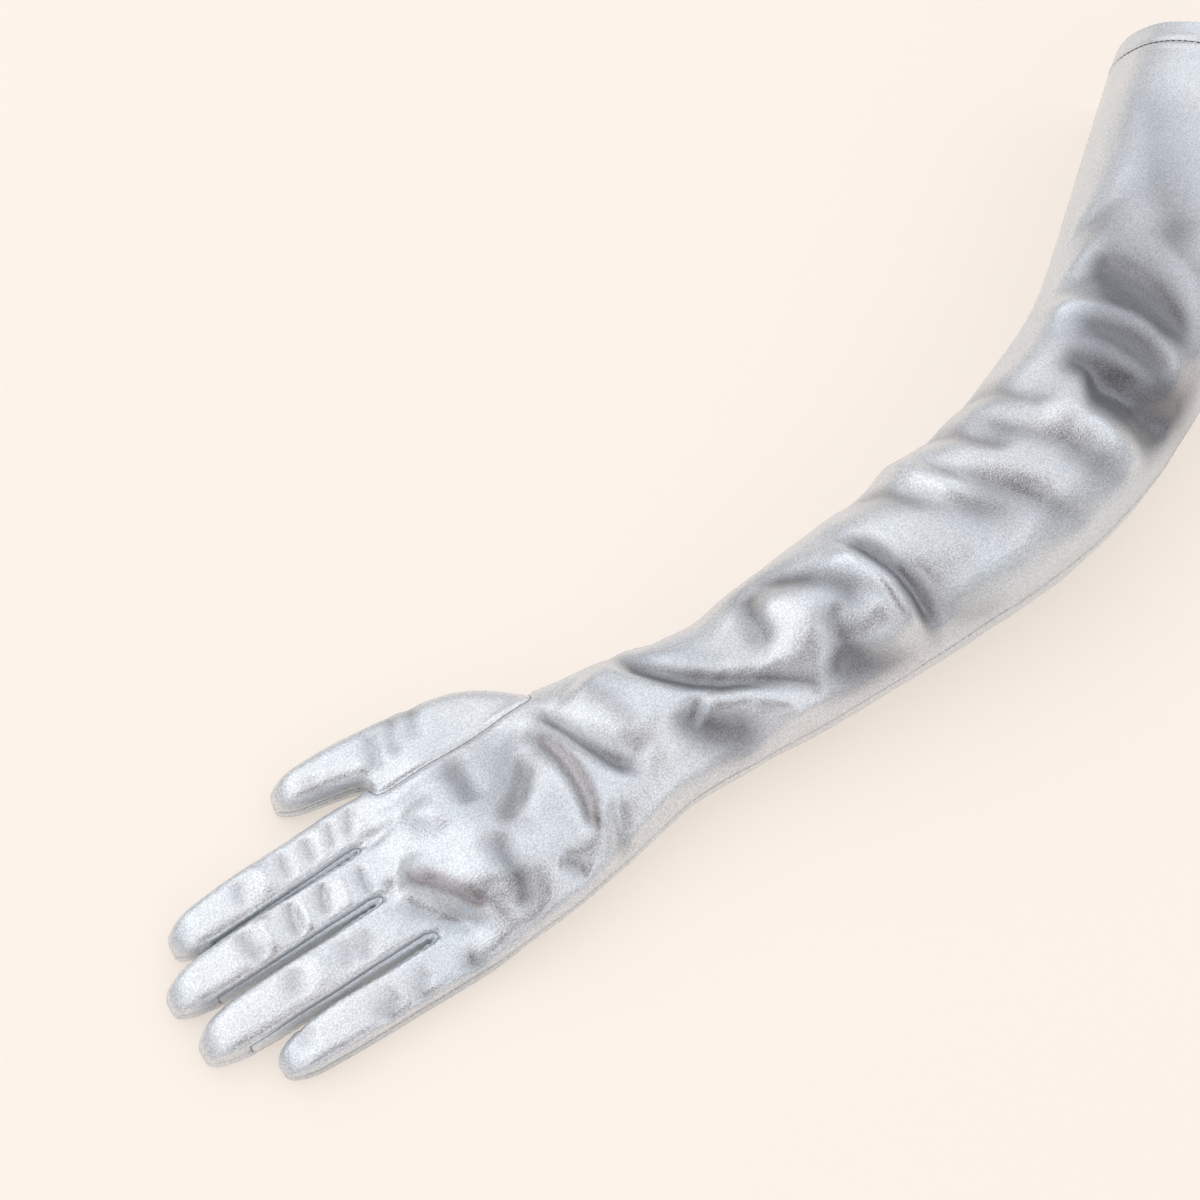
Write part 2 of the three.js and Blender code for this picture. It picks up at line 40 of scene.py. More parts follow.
# Camera at the photo's angle
cameraLook = {
    "place": (-0.1359, -0.2493, 0.6452),
    "direction": (0.265, 0.424, -0.866),
    "lens": 57.0,
    "sensor": 36.0,
}
cameraData = bpy.data.cameras.new("camera")
cameraData.lens = cameraLook["lens"]
cameraData.sensor_width = cameraLook["sensor"]
camera = bpy.data.objects.new("camera", cameraData)
scene.collection.objects.link(camera)
camera.location = cameraLook["place"]
camera.rotation_mode = "QUATERNION"
camera.rotation_quaternion = Vector(cameraLook["direction"]).to_track_quat("-Z", "Y")
scene.camera = camera
print("camera set")

# Sizes of the glove in millimetres: the CAD part's, with squarer fingers and thumb
shape = {
    "handLength": 146.0,
    "foreArmLength": 169.0,
    "upperArmLength": 215.0,
    "crotchAhead": 70.0,
    "elbowDegrees": 38.0,
    "elbowRadius": 250.0,
    "hemDepth": 12.0,
    "hemLean": 18.0,
    "leanLength": 90.0,
    "fingerSquare": 4.2,
    "webAngle": 34.0,
    "tipRound": 13.0,
    "tipBreadth": 0.12,
    "tipHeight": 0.35,
    "stripNarrowing": 0.7,
    "stripEnd": 0.81,
    "fingerSkewOut": 0.6,
    "thumbLength": 99.0,
    "thumbSquare": 3.3,
    "thumbGrown": 0.3,
    "seamShare": 0.46,
    "pressed": 0.3,
    "knucklesShare": 0.26,
    "skewShare": 0.5,
}
# How finely the cloth is divided: the CAD part's own steps times these, and rings along each finger
detail = {"round": 5, "hand": 5, "foreArm": 7, "upperArm": 7, "hem": 4, "finger": 52, "thumb": 58}
# Lengths around the pieces, for the weave: shares of the breadth, or millimetres
girths = {"sleeve": 1.45, "finger": 1.6, "thumb": 62.0}

bend = math.radians(shape["elbowDegrees"])
bendTangent = shape["elbowRadius"] * math.tan(bend / 2)
bendLength = shape["elbowRadius"] * bend
straightLength = shape["handLength"] + shape["foreArmLength"] - bendTangent
elbowAt = straightLength + bendLength / 2
sleeveLength = straightLength + bendLength + shape["upperArmLength"] - bendTangent
hemAt = sleeveLength - shape["hemDepth"]
handLength = shape["handLength"]


def mix(a, b, share):
    return a + (b - a) * share


def smooth(share):
    share = np.clip(share, 0, 1)
    return share * share * (3 - 2 * share)


def foreArm(share):
    return mix(handLength, elbowAt, share)


def upperArm(share):
    return mix(elbowAt, sleeveLength, share)


# Sections: place along the sleeve, breadth, height, shift to the thumb side, squareness
sections = [
    [0.0, 80.0, 18.6, -2.4, 2.40],
    [handLength * 0.1, 79.2, 24.6, -2.64, 2.55],
    [handLength * 0.28, 79.2, 28.5, -2.24, 2.55],
    [handLength * 0.48, 76.0, 30.0, -0.4, 2.45],
    [handLength * 0.62, 70.4, 32.4, 0.96, 2.35],
    [handLength * 0.76, 64.8, 35.4, 1.76, 2.25],
    [handLength * 0.88, 60.9, 37.24, 0.0, 2.25],
    [handLength, 58.0, 38.0, -1.45, 2.20],
    [foreArm(0.1), 61.6, 42.92, -1.05, 2.20],
    [foreArm(0.2), 64.4, 48.14, -0.35, 2.20],
    [foreArm(0.4), 67.9, 55.1, 1.05, 2.20],
    [foreArm(0.62), 71.4, 60.9, 2.8, 2.20],
    [foreArm(0.82), 74.5, 66.5, 2.28, 2.20],
    [foreArm(1.0), 76.0, 70.0, 1.52, 2.20],
    [upperArm(0.15), 77.5, 71.4, 0.76, 2.20],
    [upperArm(0.4), 77.2, 73.5, 0.0, 2.20],
    [upperArm(0.75), 78.0, 75.0, 0.0, 2.20],
    [upperArm(1.0), 78.0, 75.0, 0.0, 2.20],
]
# Fingers, little to index: reach, side of the root and of the tip, breadth, height
fingers = [
    [59.8, -33.6, -34.8, 18.2, 14.4],
    [80.9, -12.8, -16.0, 20.0, 16.0],
    [83.0, 8.0, 5.0, 19.4, 16.5],
    [73.5, 28.0, 23.5, 19.0, 16.0],
]
# Along a finger: share, breadth and height, as shares of those at its root
fingerTaper = [[0.0, 1.0, 1.0], [0.3, 0.97, 0.94], [0.55, 0.95, 0.92], [0.8, 0.87, 0.82], [1.0, 0.76, 0.7]]
# How far up the hand the fingers begin: at the little finger's side, the three crotches, the index's side
crotchBack = [11.68, 8.76, -1.46, 1.02, 0.0]
# Thumb: share, how far ahead and out the outer edge lies, then the inner edge, height
thumbTable = [
    [0.0, 0.0, 38.4, 64.4, 37.2, 21.3],
    [0.15, 7.9, 48.8, 65.3, 38.7, 21.3],
    [0.3, 21.8, 54.9, 67.8, 40.6, 20.4],
    [0.45, 40.6, 58.3, 71.3, 42.1, 19.0],
    [0.6, 60.4, 60.4, 75.7, 43.3, 17.3],
    [0.8, 79.2, 61.0, 83.7, 44.8, 15.6],
    [1.0, 97.5, 60.4, 99.0, 47.6, 12.8],
]
# Folds: start, middle and end, each as millimetres from the crotches and share of the way over the
# top from the little finger's side to the thumb's, then half breadth, height and lean to one side
folds = [
    [3, 0.56, 24, 0.4, 40, 0.22, 8.5, 1.47, 0.1],
    [11, 0.49, 22, 0.32, 37, 0.08, 7.2, -1.68, 0.1],
    [71, 0.81, 48, 0.61, 57, 0.3, 11.1, -1.68, 0.42],
    [53, 0.92, 51, 0.85, 40, 0.47, 11, -1.19, -0.35],
    [65, 0.89, 80, 0.5, 68, 0.15, 7, -1.4, 0.45],
    [72, 0.91, 92, 0.42, 75, 0.2, 5.5, 1.19, -0.45],
    [81, 0.8, 93, 0.5, 107, 0.31, 10.6, -1.68, -0.37],
    [93, 0.83, 131, 0.75, 107, 0.25, 8, 1.22, -0.03],
    [82, 0.74, 98, 0.54, 110, 0.26, 6.1, 0.8, -0.32],
    [98, 0.79, 113, 0.73, 123, 0.47, 9.3, -0.66, 0.45],
    [52, 0.27, 52, 0.14, 63, 0.17, 9.3, -0.14, 0.45],
    [55, 0.23, 54, 0.14, 54, 0.09, 12.3, -0.42, -0.29],
    [86, 0.38, 98, 0.15, 98, 0.11, 15.6, 1.47, 0.45],
    [103, 0.94, 105, 0.7, 182, 0.48, 20, -1.22, -0.24],
    [147, 0.34, 161, 0.23, 251, 0.03, 13.3, -0.98, -0.42],
    [122, 0.47, 126, 0.29, 149, 0.21, 17.9, -1.61, 0.45],
    [137, 0.55, 155, 0.21, 158, 0.11, 10.7, 1.47, 0.45],
    [128, 0.42, 134, 0.39, 144, 0.14, 13.8, 1.47, 0.45],
    [148, 0.99, 158, 0.49, 161, 0.43, 11.4, -0.94, 0.45],
    [156, 0.79, 183, 0.46, 184, 0.46, 10.9, 1.47, 0.37],
    [188, 0.68, 199, 0.43, 219, 0.38, 7.7, 1.47, -0.25],
    [208, 0.65, 214, 0.09, 253, 0.03, 8.8, -1.68, -0.45],
    [118, 0.99, 116, 1.04, 126, 0.9, 16.9, 1.47, -0.44],
    [484, 0.85, 489, 0.72, 498, 0.58, 4.1, -0.25, 0.01],
    [496, 0.66, 413, 0.66, 396, 0.35, 15.4, -2.4, -0.45],
    [409, 0.54, 385, 0.4, 390, 0.25, 10.2, -1.65, -0.33],
    [409, 0.81, 407, 0.67, 347, 0.51, 20, -2.4, -0.41],
    [385, 0.75, 377, 0.55, 356, 0.22, 11.6, -4.8, 0.45],
    [349, 0.87, 364, 0.38, 338, 0.17, 5.3, 2.0, -0.14],
    [346, 0.73, 346, 0.47, 337, -0.05, 15.4, -4.8, -0.07],
    [352, 0.82, 331, 0.46, 339, 0.16, 7.0, 0.8, 0],
    [328, 0.66, 325, 0.46, 331, 0.09, 8.5, -4.4, 0.2],
    [320, 0.52, 325, 0.39, 330, 0.07, 11.4, -4.8, 0.45],
    [70, 1.05, 74, 1.05, 92, 0.91, 15.5, 1.47, 0.45],
    [129, 1.03, 163, 0.96, 174, 0.74, 14.1, 1.47, 0.45],
    [222, 0.95, 236, 0.60, 262, 0.30, 7.0, -3.2, 0.20],
    [240, 0.98, 246, 0.70, 250, 0.45, 7.0, 2.4, -0.20],
    [248, 0.80, 262, 0.45, 284, 0.12, 6.5, -3.4, 0.30],
    [266, 1.00, 268, 0.72, 280, 0.50, 6.0, -2.8, -0.20],
    [282, 0.75, 288, 0.45, 304, 0.15, 6.5, -3.2, 0.20],
    [296, 0.98, 298, 0.70, 306, 0.50, 7.0, -2.6, 0.10],
    [302, 0.60, 306, 0.35, 312, 0.10, 6.0, 2.2, 0.0],
]
overLength = 108.0
# How a fold's profile falls off: reach in half breadths, shares of its run at the ends, valley shape
foldForm = {"steps": 24, "reach": 3.5, "leanShare": 0.22, "endShare": 0.26, "endStart": 0.12,
            "valleyFlat": 0.3, "valleyFall": 1.35, "startAlong": -4, "fullOver": 22, "underShare": 0.35}


def readTable(rows, column, at):
    last = len(rows) - 1
    row = 0
    while row < last - 1 and rows[row + 1][0] <= at:
        row += 1
    here, after = rows[row], rows[row + 1]
    before, beyond = rows[max(row - 1, 0)], rows[min(row + 2, last)]
    span = after[0] - here[0]
    share = min(max((at - here[0]) / span, 0), 1)
    slopeHere = (after[column] - before[column]) / (after[0] - before[0]) * span
    slopeAfter = (beyond[column] - here[column]) / (beyond[0] - here[0]) * span
    rise = after[column] - here[column]
    bow = (1 - share) * (slopeHere - rise) - share * (slopeAfter - rise)
    return here[column] + rise * share + share * (1 - share) * bow


def outline(breadth, height, square, degrees):
    angle = np.radians(degrees)
    side, up = np.cos(angle), np.sin(angle)
    broadest = height * shape["seamShare"]
    reach = np.where(up > 0, height - broadest, broadest * (1 + shape["pressed"]))
    across = np.sign(side) * np.abs(side) ** (2 / square) * breadth / 2
    lift = broadest + np.sign(up) * np.abs(up) ** (2 / square) * reach
    return across, np.maximum(lift, 0)


lobeSteps = 4 * detail["round"]
webSteps = 2 * detail["round"]
topSteps = lobeSteps * 4
ringSteps = topSteps * 2


def evenRing(section):
    ring = []
    for half in (0, 1):
        degrees = 180 - 180 * (half + np.linspace(0, 1, 361))
        across, lift = outline(section[0], section[1], section[3], degrees)
        lengths = np.concatenate([[0], np.cumsum(np.hypot(np.diff(across), np.diff(lift)))])
        wanted = np.linspace(0, lengths[-1], topSteps + 1)[:-1]
        ring.append([np.interp(wanted, lengths, across) + section[2], np.interp(wanted, lengths, lift)])
    return np.concatenate(ring, axis=1)


def placed(along, across, lift):
    turn = np.clip((along - straightLength) / shape["elbowRadius"], 0, bend)
    before = np.minimum(along, straightLength)
    beyond = np.maximum(along - straightLength - bendLength, 0)
    x = before - shape["crotchAhead"] + shape["elbowRadius"] * np.sin(turn) + beyond * math.cos(bend)
    y = shape["elbowRadius"] * (1 - np.cos(turn)) + beyond * math.sin(bend)
    return np.stack([x - across * np.sin(turn), y + across * np.cos(turn), lift + 0 * x], -1)


def tipRounding(left):
    return math.sqrt(1 - (1 - left / shape["tipRound"]) ** 2) if left < shape["tipRound"] else 1.0


def fingerPoint(number, share, degrees):
    reach, root, tip, wide, high = fingers[number]
    full = tipRounding(reach * (1 - share))
    breadth = wide * readTable(fingerTaper, 1, share) * mix(shape["tipBreadth"], 1, full)
    height = high * readTable(fingerTaper, 2, share) * mix(shape["tipHeight"], 1, full)
    across, lift = outline(breadth, height, shape["fingerSquare"], degrees)
    return across + mix(root, tip, share), lift


def backEdges(number, web):
    return 180 - web if number > 0 else 180, web if number < 3 else 0


points = []
corners, cornerUv, facePiece, cornerCount = [], [], [], []
pieceNames = ["back_panel", "palm_panel", "thumb_back", "thumb_palm", "fourchette_ring_little",
              "fourchette_middle_ring", "fourchette_index_middle", "hem"]
pieceNumber = {name: number for number, name in enumerate(pieceNames)}


def addFace(piece, face, uv):
    facePiece.append(pieceNumber[piece])
    cornerCount.append(len(face))
    corners.append(list(face) + [face[-1]] * (4 - len(face)))
    cornerUv.append(list(uv) + [uv[-1]] * (4 - len(uv)))


# Body of the glove from the finger crotches to the hem
handSteps, foreArmSteps = 20 * detail["hand"], 17 * detail["foreArm"]
upperArmSteps, hemSteps = 20 * detail["upperArm"], 2 * detail["hem"]
stations = np.concatenate([
    handLength * np.arange(handSteps) / handSteps,
    foreArm(np.arange(foreArmSteps) / foreArmSteps),
    mix(elbowAt, hemAt, np.arange(upperArmSteps) / upperArmSteps),
    hemAt + shape["hemDepth"] * np.arange(hemSteps + 1) / hemSteps,
])
hemStation = len(stations) - 1 - hemSteps
steps = np.arange(ringSteps)
overTop = np.where(steps <= topSteps, steps, ringSteps - steps)
crotchPlace = overTop / lobeSteps
crotchLow = np.minimum(np.floor(crotchPlace).astype(int), 3)
backRow = mix(np.array(crotchBack)[crotchLow], np.array(crotchBack)[crotchLow + 1], crotchPlace - crotchLow)
under = np.maximum(steps - topSteps, 0) / topSteps
overRow = np.where(steps <= topSteps, steps / topSteps, np.round(1 - under))
beneathRow = smooth(1 - np.minimum(under, 1 - under) / foldForm["underShare"])

lobe = np.zeros((2, ringSteps))
for step in range(ringSteps):
    sign = 1 if step <= topSteps else -1
    number = crotchLow[step]
    local = overTop[step] - number * lobeSteps
    edges = backEdges(number, shape["webAngle"])
    point = np.array(fingerPoint(number, 0, sign * mix(edges[0], edges[1], local / lobeSteps)))
    if local == 0 and number > 0:
        point = (point + np.array(fingerPoint(number - 1, 0, sign * shape["webAngle"]))) / 2
    lobe[:, step] = point

foldHeights = np.zeros((len(stations), ringSteps))
overPlace = np.broadcast_to(overRow, foldHeights.shape)
alongPlace = np.broadcast_to(stations[:, None], foldHeights.shape)
for along0, over0, along1, over1, along2, over2, breadth, rise, lip in folds:
    share = np.linspace(0, 1, foldForm["steps"] + 1)
    near = mix(mix(along0, along1, share), mix(along1, along2, share), share)
    side = mix(mix(over0, over1, share), mix(over1, over2, share), share) * overLength
    margin = breadth * foldForm["reach"]
    rows = np.where((stations > near.min() - margin) & (stations < near.max() + margin))[0]
    offAlong = alongPlace[rows][..., None] - near[:-1]
    offSide = overPlace[rows][..., None] * overLength - side[:-1]
    runAlong, runSide = np.diff(near), np.diff(side)
    onRun = np.clip((offAlong * runAlong + offSide * runSide) / (runAlong ** 2 + runSide ** 2), 0, 1)
    gapAlong, gapSide = offAlong - onRun * runAlong, offSide - onRun * runSide
    distance = np.hypot(gapAlong, gapSide)
    best = distance.argmin(2)[..., None]
    place = (best + np.take_along_axis(onRun, best, 2))[..., 0] / foldForm["steps"]
    left = np.take_along_axis(runAlong * gapSide - runSide * gapAlong, best, 2)[..., 0] > 0
    toEnd = np.minimum(place, 1 - place)
    leaning = lip * smooth(toEnd / foldForm["leanShare"])
    width = breadth * np.where(left, 1 - leaning, 1 + leaning)
    ending = smooth(toEnd / foldForm["endShare"] + foldForm["endStart"])
    far = distance.min(2) / width
    if rise > 0:
        foldHeights[rows] += rise * ending * np.exp(-(far ** 2))
    else:
        flat = foldForm["valleyFlat"]
        off = np.sqrt(far ** 2 + flat ** 2) - flat
        foldHeights[rows] += rise * ending * np.exp(-off * foldForm["valleyFall"])

# One round of smoothing, along the sleeve and around it
foldHeights[1:-1] = (foldHeights[:-2] + foldHeights[1:-1] * 2 + foldHeights[2:]) / 4
foldHeights = (np.roll(foldHeights, 1, 1) + foldHeights * 2 + np.roll(foldHeights, -1, 1)) / 4
foldStart = smooth((stations - foldForm["startAlong"]) / foldForm["fullOver"])
foldHeights *= foldStart[:, None] * beneathRow

body = np.zeros((len(stations), ringSteps), int)
knuckles, skewOut = handLength * shape["knucklesShare"], handLength * shape["skewShare"]
for row, along in enumerate(stations):
    section = [readTable(sections, column, along) for column in range(1, 5)]
    settled = float(smooth(along / knuckles))
    skew = 1 - float(smooth(along / skewOut))
    leaning = float(smooth((along - sleeveLength + shape["leanLength"]) / shape["leanLength"]))
    across, lift = mix(lobe, evenRing(section), settled)
    rise = np.where(lift > 0, foldHeights[row], 0)
    outX = (across - section[2]) / section[0] ** 2
    outZ = (lift - section[1] * shape["seamShare"]) / section[1] ** 2
    outLength = np.hypot(outX, outZ)
    lean = shape["hemLean"] * (0.5 - lift / section[1]) * leaning
    spots = placed(along + backRow * skew + lean, across + outX / outLength * rise,
                   np.maximum(lift + outZ / outLength * rise, 0))
    body[row] = np.arange(ringSteps) + len(points)
    points.extend(spots)

around = section[0] * girths["sleeve"]
# The opening for the thumb: rows of the body, and steps over and under its side
thumbFrom, thumbTo = 2 * detail["hand"], 11 * detail["hand"]
thumbOver = thumbUnder = 2 * detail["round"]
for row in range(len(stations) - 1):
    for step in range(ringSteps):
        if thumbFrom <= row < thumbTo and topSteps - thumbOver <= step < topSteps + thumbUnder:
            continue
        after = (step + 1) % ringSteps
        piece = "hem" if row >= hemStation else "back_panel" if step < topSteps else "palm_panel"
        v0, v1 = step / topSteps * around, (step + 1) / topSteps * around
        u0, u1 = stations[row], stations[row + 1]
        addFace(piece, (body[row][step], body[row + 1][step], body[row + 1][after], body[row][after]),
                ((u0, v0), (u1, v0), (u1, v1), (u0, v1)))
print("sleeve and hand:", len(points), "points")

# Fingers with their side strips
sideStrips = pieceNames[4:7]
webs = []
for number in range(3):
    web, angle = [], shape["webAngle"]
    for n in range(1, webSteps):
        low = fingerPoint(number, 0, mix(angle, -angle, n / webSteps))
        high = fingerPoint(number + 1, 0, mix(180 - angle, 180 + angle, n / webSteps))
        web.append(len(points))
        points.append(placed(crotchBack[number + 1], (low[0] + high[0]) / 2, (low[1] + high[1]) / 2))
    webs.append(web)


def fingerColumns(number, web):
    start, end = backEdges(number, web)
    first = number * lobeSteps
    columns = [(mix(start, end, n / lobeSteps), "back", first + n) for n in range(lobeSteps)]
    if number < 3:
        columns += [(mix(web, -web, n / webSteps), number, n) for n in range(webSteps)]
    columns += [(-mix(start, end, n / lobeSteps), "palm", -(first + n)) for n in range(lobeSteps, 0, -1)]
    if number > 0:
        edges = 180 - web, 180 + web
        columns += [(mix(*edges, n / webSteps), number - 1, n) for n in range(webSteps, 0, -1)]
    return columns


def rootPoint(column):
    kind, place = column[1:]
    if kind in ("back", "palm"):
        return body[0][place % ringSteps]
    if 0 < place < webSteps:
        return webs[kind][place - 1]
    crotch = (kind + 1) * lobeSteps
    return body[0][crotch if place == 0 else ringSteps - crotch]


def fingerPiece(column, share):
    degrees, kind = column[:2]
    if kind in ("back", "palm"):
        return kind + "_panel"
    if share < shape["stripEnd"]:
        return sideStrips[kind]
    topHalf = degrees > 0 if degrees < 90 else degrees <= 180
    return "back_panel" if topHalf else "palm_panel"


# Rings are even as far as tipsFrom, then closer towards the tip
tipsFrom = 0.84
tipShares = [0.86, 0.88, 0.9, 0.918, 0.935, 0.95, 0.963, 0.974, 0.983, 0.99, 0.996]
fingerShares = list(np.linspace(0, tipsFrom, detail["finger"])[1:]) + tipShares
for number, (reach, rootSide, tipSide, wide, high) in enumerate(fingers):
    columns = fingerColumns(number, shape["webAngle"])
    ring = [rootPoint(column) for column in columns]
    lastShare = 0.0
    girth = (wide + high) * girths["finger"] / len(columns)
    for share in fingerShares:
        web = shape["webAngle"] * (1 - shape["stripNarrowing"] * float(smooth(share / shape["stripEnd"])))
        columns = fingerColumns(number, web)
        skew = 1 - float(smooth(share / shape["fingerSkewOut"]))
        across, lift = fingerPoint(number, share, np.array([column[0] for column in columns]))
        side = np.clip(0.5 + (across - mix(rootSide, tipSide, share)) / wide, 0, 1)
        back = mix(crotchBack[number], crotchBack[number + 1], side) * skew
        after = list(range(len(points), len(points) + len(columns)))
        points.extend(placed(back - reach * share, across, lift))
        u0, u1 = -reach * lastShare, -reach * share
        for n, column in enumerate(columns):
            m, v0, v1 = (n + 1) % len(columns), n * girth, (n + 1) * girth
            addFace(fingerPiece(column, (share + lastShare) / 2), (ring[n], ring[m], after[m], after[n]),
                    ((u0, v0), (u0, v1), (u1, v1), (u1, v0)))
        ring, lastShare = after, share
    tipLift = high * readTable(fingerTaper, 2, 1) * shape["tipHeight"] * shape["seamShare"]
    tip = len(points)
    points.append(placed(-reach, tipSide, tipLift))
    for n, column in enumerate(columns):
        m, v0, v1 = (n + 1) % len(columns), n * girth, (n + 1) * girth
        addFace(fingerPiece(column, 1.0), (ring[n], ring[m], tip), ((u1, v0), (u1, v1), (-reach, v0)))
print("fingers:", len(points), "points")

# The thumb grows out of its seat in the side of the hand
seat = [body[thumbTo][topSteps - n] for n in range(thumbOver)]
seat += [body[n][topSteps - thumbOver] for n in range(thumbTo, thumbFrom, -1)]
seat += [body[thumbFrom][topSteps + n] for n in range(-thumbOver, thumbUnder)]
seat += [body[n][topSteps + thumbUnder] for n in range(thumbFrom, thumbTo)]
seat += [body[thumbTo][topSteps + n] for n in range(thumbUnder, 0, -1)]
seatSpots = np.array([points[n] for n in seat])
thumbStart = stations[thumbTo] - shape["crotchAhead"]
thumbTurn = 360 * np.arange(len(seat)) / len(seat)
ring, lastShare = seat, 0.0
girth = girths["thumb"] / len(seat)
thumbLength = shape["thumbLength"]


def thumbPiece(n):
    return "thumb_back" if n < len(seat) // 2 else "thumb_palm"


for share in list(np.linspace(0, tipsFrom, detail["thumb"])[1:]) + tipShares:
    edge = [readTable(thumbTable, column, share) for column in range(1, 6)]
    outer = np.array([thumbStart - edge[0], edge[1]])
    inner = np.array([thumbStart - edge[2], edge[3]])
    span = np.linalg.norm(outer - inner)
    aside, centre = (outer - inner) / span, (outer + inner) / 2
    full = tipRounding(thumbLength * (1 - share))
    breadth = span * mix(shape["tipBreadth"], 1, full)
    height = edge[4] * mix(shape["tipHeight"], 1, full)
    across, lift = outline(breadth, height, shape["thumbSquare"], thumbTurn)
    spots = np.column_stack([centre[0] + aside[0] * across, centre[1] + aside[1] * across, lift])
    after = list(range(len(points), len(points) + len(seat)))
    points.extend(mix(seatSpots, spots, float(smooth(share / shape["thumbGrown"]))))
    u0, u1 = -thumbLength * share, -thumbLength * lastShare
    for n in range(len(seat)):
        m, v0, v1 = (n + 1) % len(seat), n * girth, (n + 1) * girth
        addFace(thumbPiece(n), (ring[n], after[n], after[m], ring[m]),
                ((u0, v0), (u1, v0), (u1, v1), (u0, v1)))
    ring, lastShare = after, share
edge = thumbTable[-1]
tip = len(points)
tipLift = edge[5] * shape["tipHeight"] * shape["seamShare"]
points.append(np.array([thumbStart - (edge[1] + edge[3]) / 2, (edge[2] + edge[4]) / 2, tipLift]))
for n in range(len(seat)):
    m, v0, v1 = (n + 1) % len(seat), n * girth, (n + 1) * girth
    addFace(thumbPiece(n), (ring[n], tip, ring[m]),
            ((1 - thumbLength, v0), (-thumbLength, v0), (1 - thumbLength, v1)))

points = np.array(points, float)
corners = np.array(corners)
cornerUv = np.array(cornerUv, float)
facePiece = np.array(facePiece)
cornerCount = np.array(cornerCount)
print("thumb:", len(points), "points,", len(corners), "faces")

# Neighbours of each point, and the seams, where cloth of two pieces meets
loopEdges = np.concatenate([corners[:, [n, (n + 1) % 4]] for n in range(4)])
loopPieces = np.tile(facePiece, 4)
real = loopEdges[:, 0] != loopEdges[:, 1]
loopEdges, loopPieces = np.sort(loopEdges[real], axis=1), loopPieces[real]
edges, edgeOf = np.unique(loopEdges, axis=0, return_inverse=True)
edgeOf = edgeOf.ravel()
lowPiece = np.full(len(edges), len(pieceNames))
highPiece = np.full(len(edges), -1)
np.minimum.at(lowPiece, edgeOf, loopPieces)
np.maximum.at(highPiece, edgeOf, loopPieces)
seamEdges = edges[lowPiece != highPiece]
seamPair = np.column_stack([lowPiece, highPiece])[lowPiece != highPiece]
degree = np.bincount(edges.ravel(), minlength=len(points))


def neighbourMean(values):
    total = np.zeros_like(values)
    np.add.at(total, edges[:, 0], values[edges[:, 1]])
    np.add.at(total, edges[:, 1], values[edges[:, 0]])
    return total / degree[:, None]


def surfaceNormals():
    across = points[corners[:, 2]] - points[corners[:, 0]]
    other = points[corners[:, 3]] - points[corners[:, 1]]
    facing = np.cross(across, other)
    total = np.zeros_like(points)
    for n in range(4):
        np.add.at(total, corners[:, n], facing)
    return total / np.maximum(np.linalg.norm(total, axis=1, keepdims=True), 1e-12)


# Soften the crotches and the thumb's seat, where the loft has corners
cloth = {"softenRounds": 14, "softenStep": 0.5, "softenLeast": 0.15, "crotchReach": 9.0, "crotchHeight": 9.0,
         "seatReach": 10.0, "seamRounds": 9, "seamReach": 12.0,
         "thickness": 0.9, "hemThickness": 1.8, "hemProud": 0.2}


def nearness(distance, reach):
    return np.exp(-((distance / reach) ** 2))


crotchSpots = np.array([
    placed(crotchBack[n + 1], float(lobe[0, (n + 1) * lobeSteps]), cloth["crotchHeight"]) for n in range(3)
])
softness = np.full(len(points), cloth["softenLeast"])
for spot in crotchSpots:
    distance = np.linalg.norm((points - spot) * [1, 1, 0.6], axis=1)
    softness = np.maximum(softness, nearness(distance, cloth["crotchReach"]))
for spot in seatSpots[::4]:
    distance = np.linalg.norm(points - spot, axis=1)
    softness = np.maximum(softness, nearness(distance, cloth["seatReach"]))
softness[body[-1]] = 0
for n in range(cloth["softenRounds"]):
    points += (neighbourMean(points) - points) * softness[:, None] * cloth["softenStep"]
points[:, 2] = np.maximum(points[:, 2], 0)

# Distance of every point to the nearest seam
edgeLength = np.linalg.norm(points[edges[:, 0]] - points[edges[:, 1]], axis=1)
seamDistance = np.full(len(points), np.inf)
seamDistance[np.unique(seamEdges)] = 0
for n in range(cloth["seamRounds"]):
    np.minimum.at(seamDistance, edges[:, 0], seamDistance[edges[:, 1]] + edgeLength)
    np.minimum.at(seamDistance, edges[:, 1], seamDistance[edges[:, 0]] + edgeLength)
seamDistance = np.minimum(seamDistance, cloth["seamReach"])

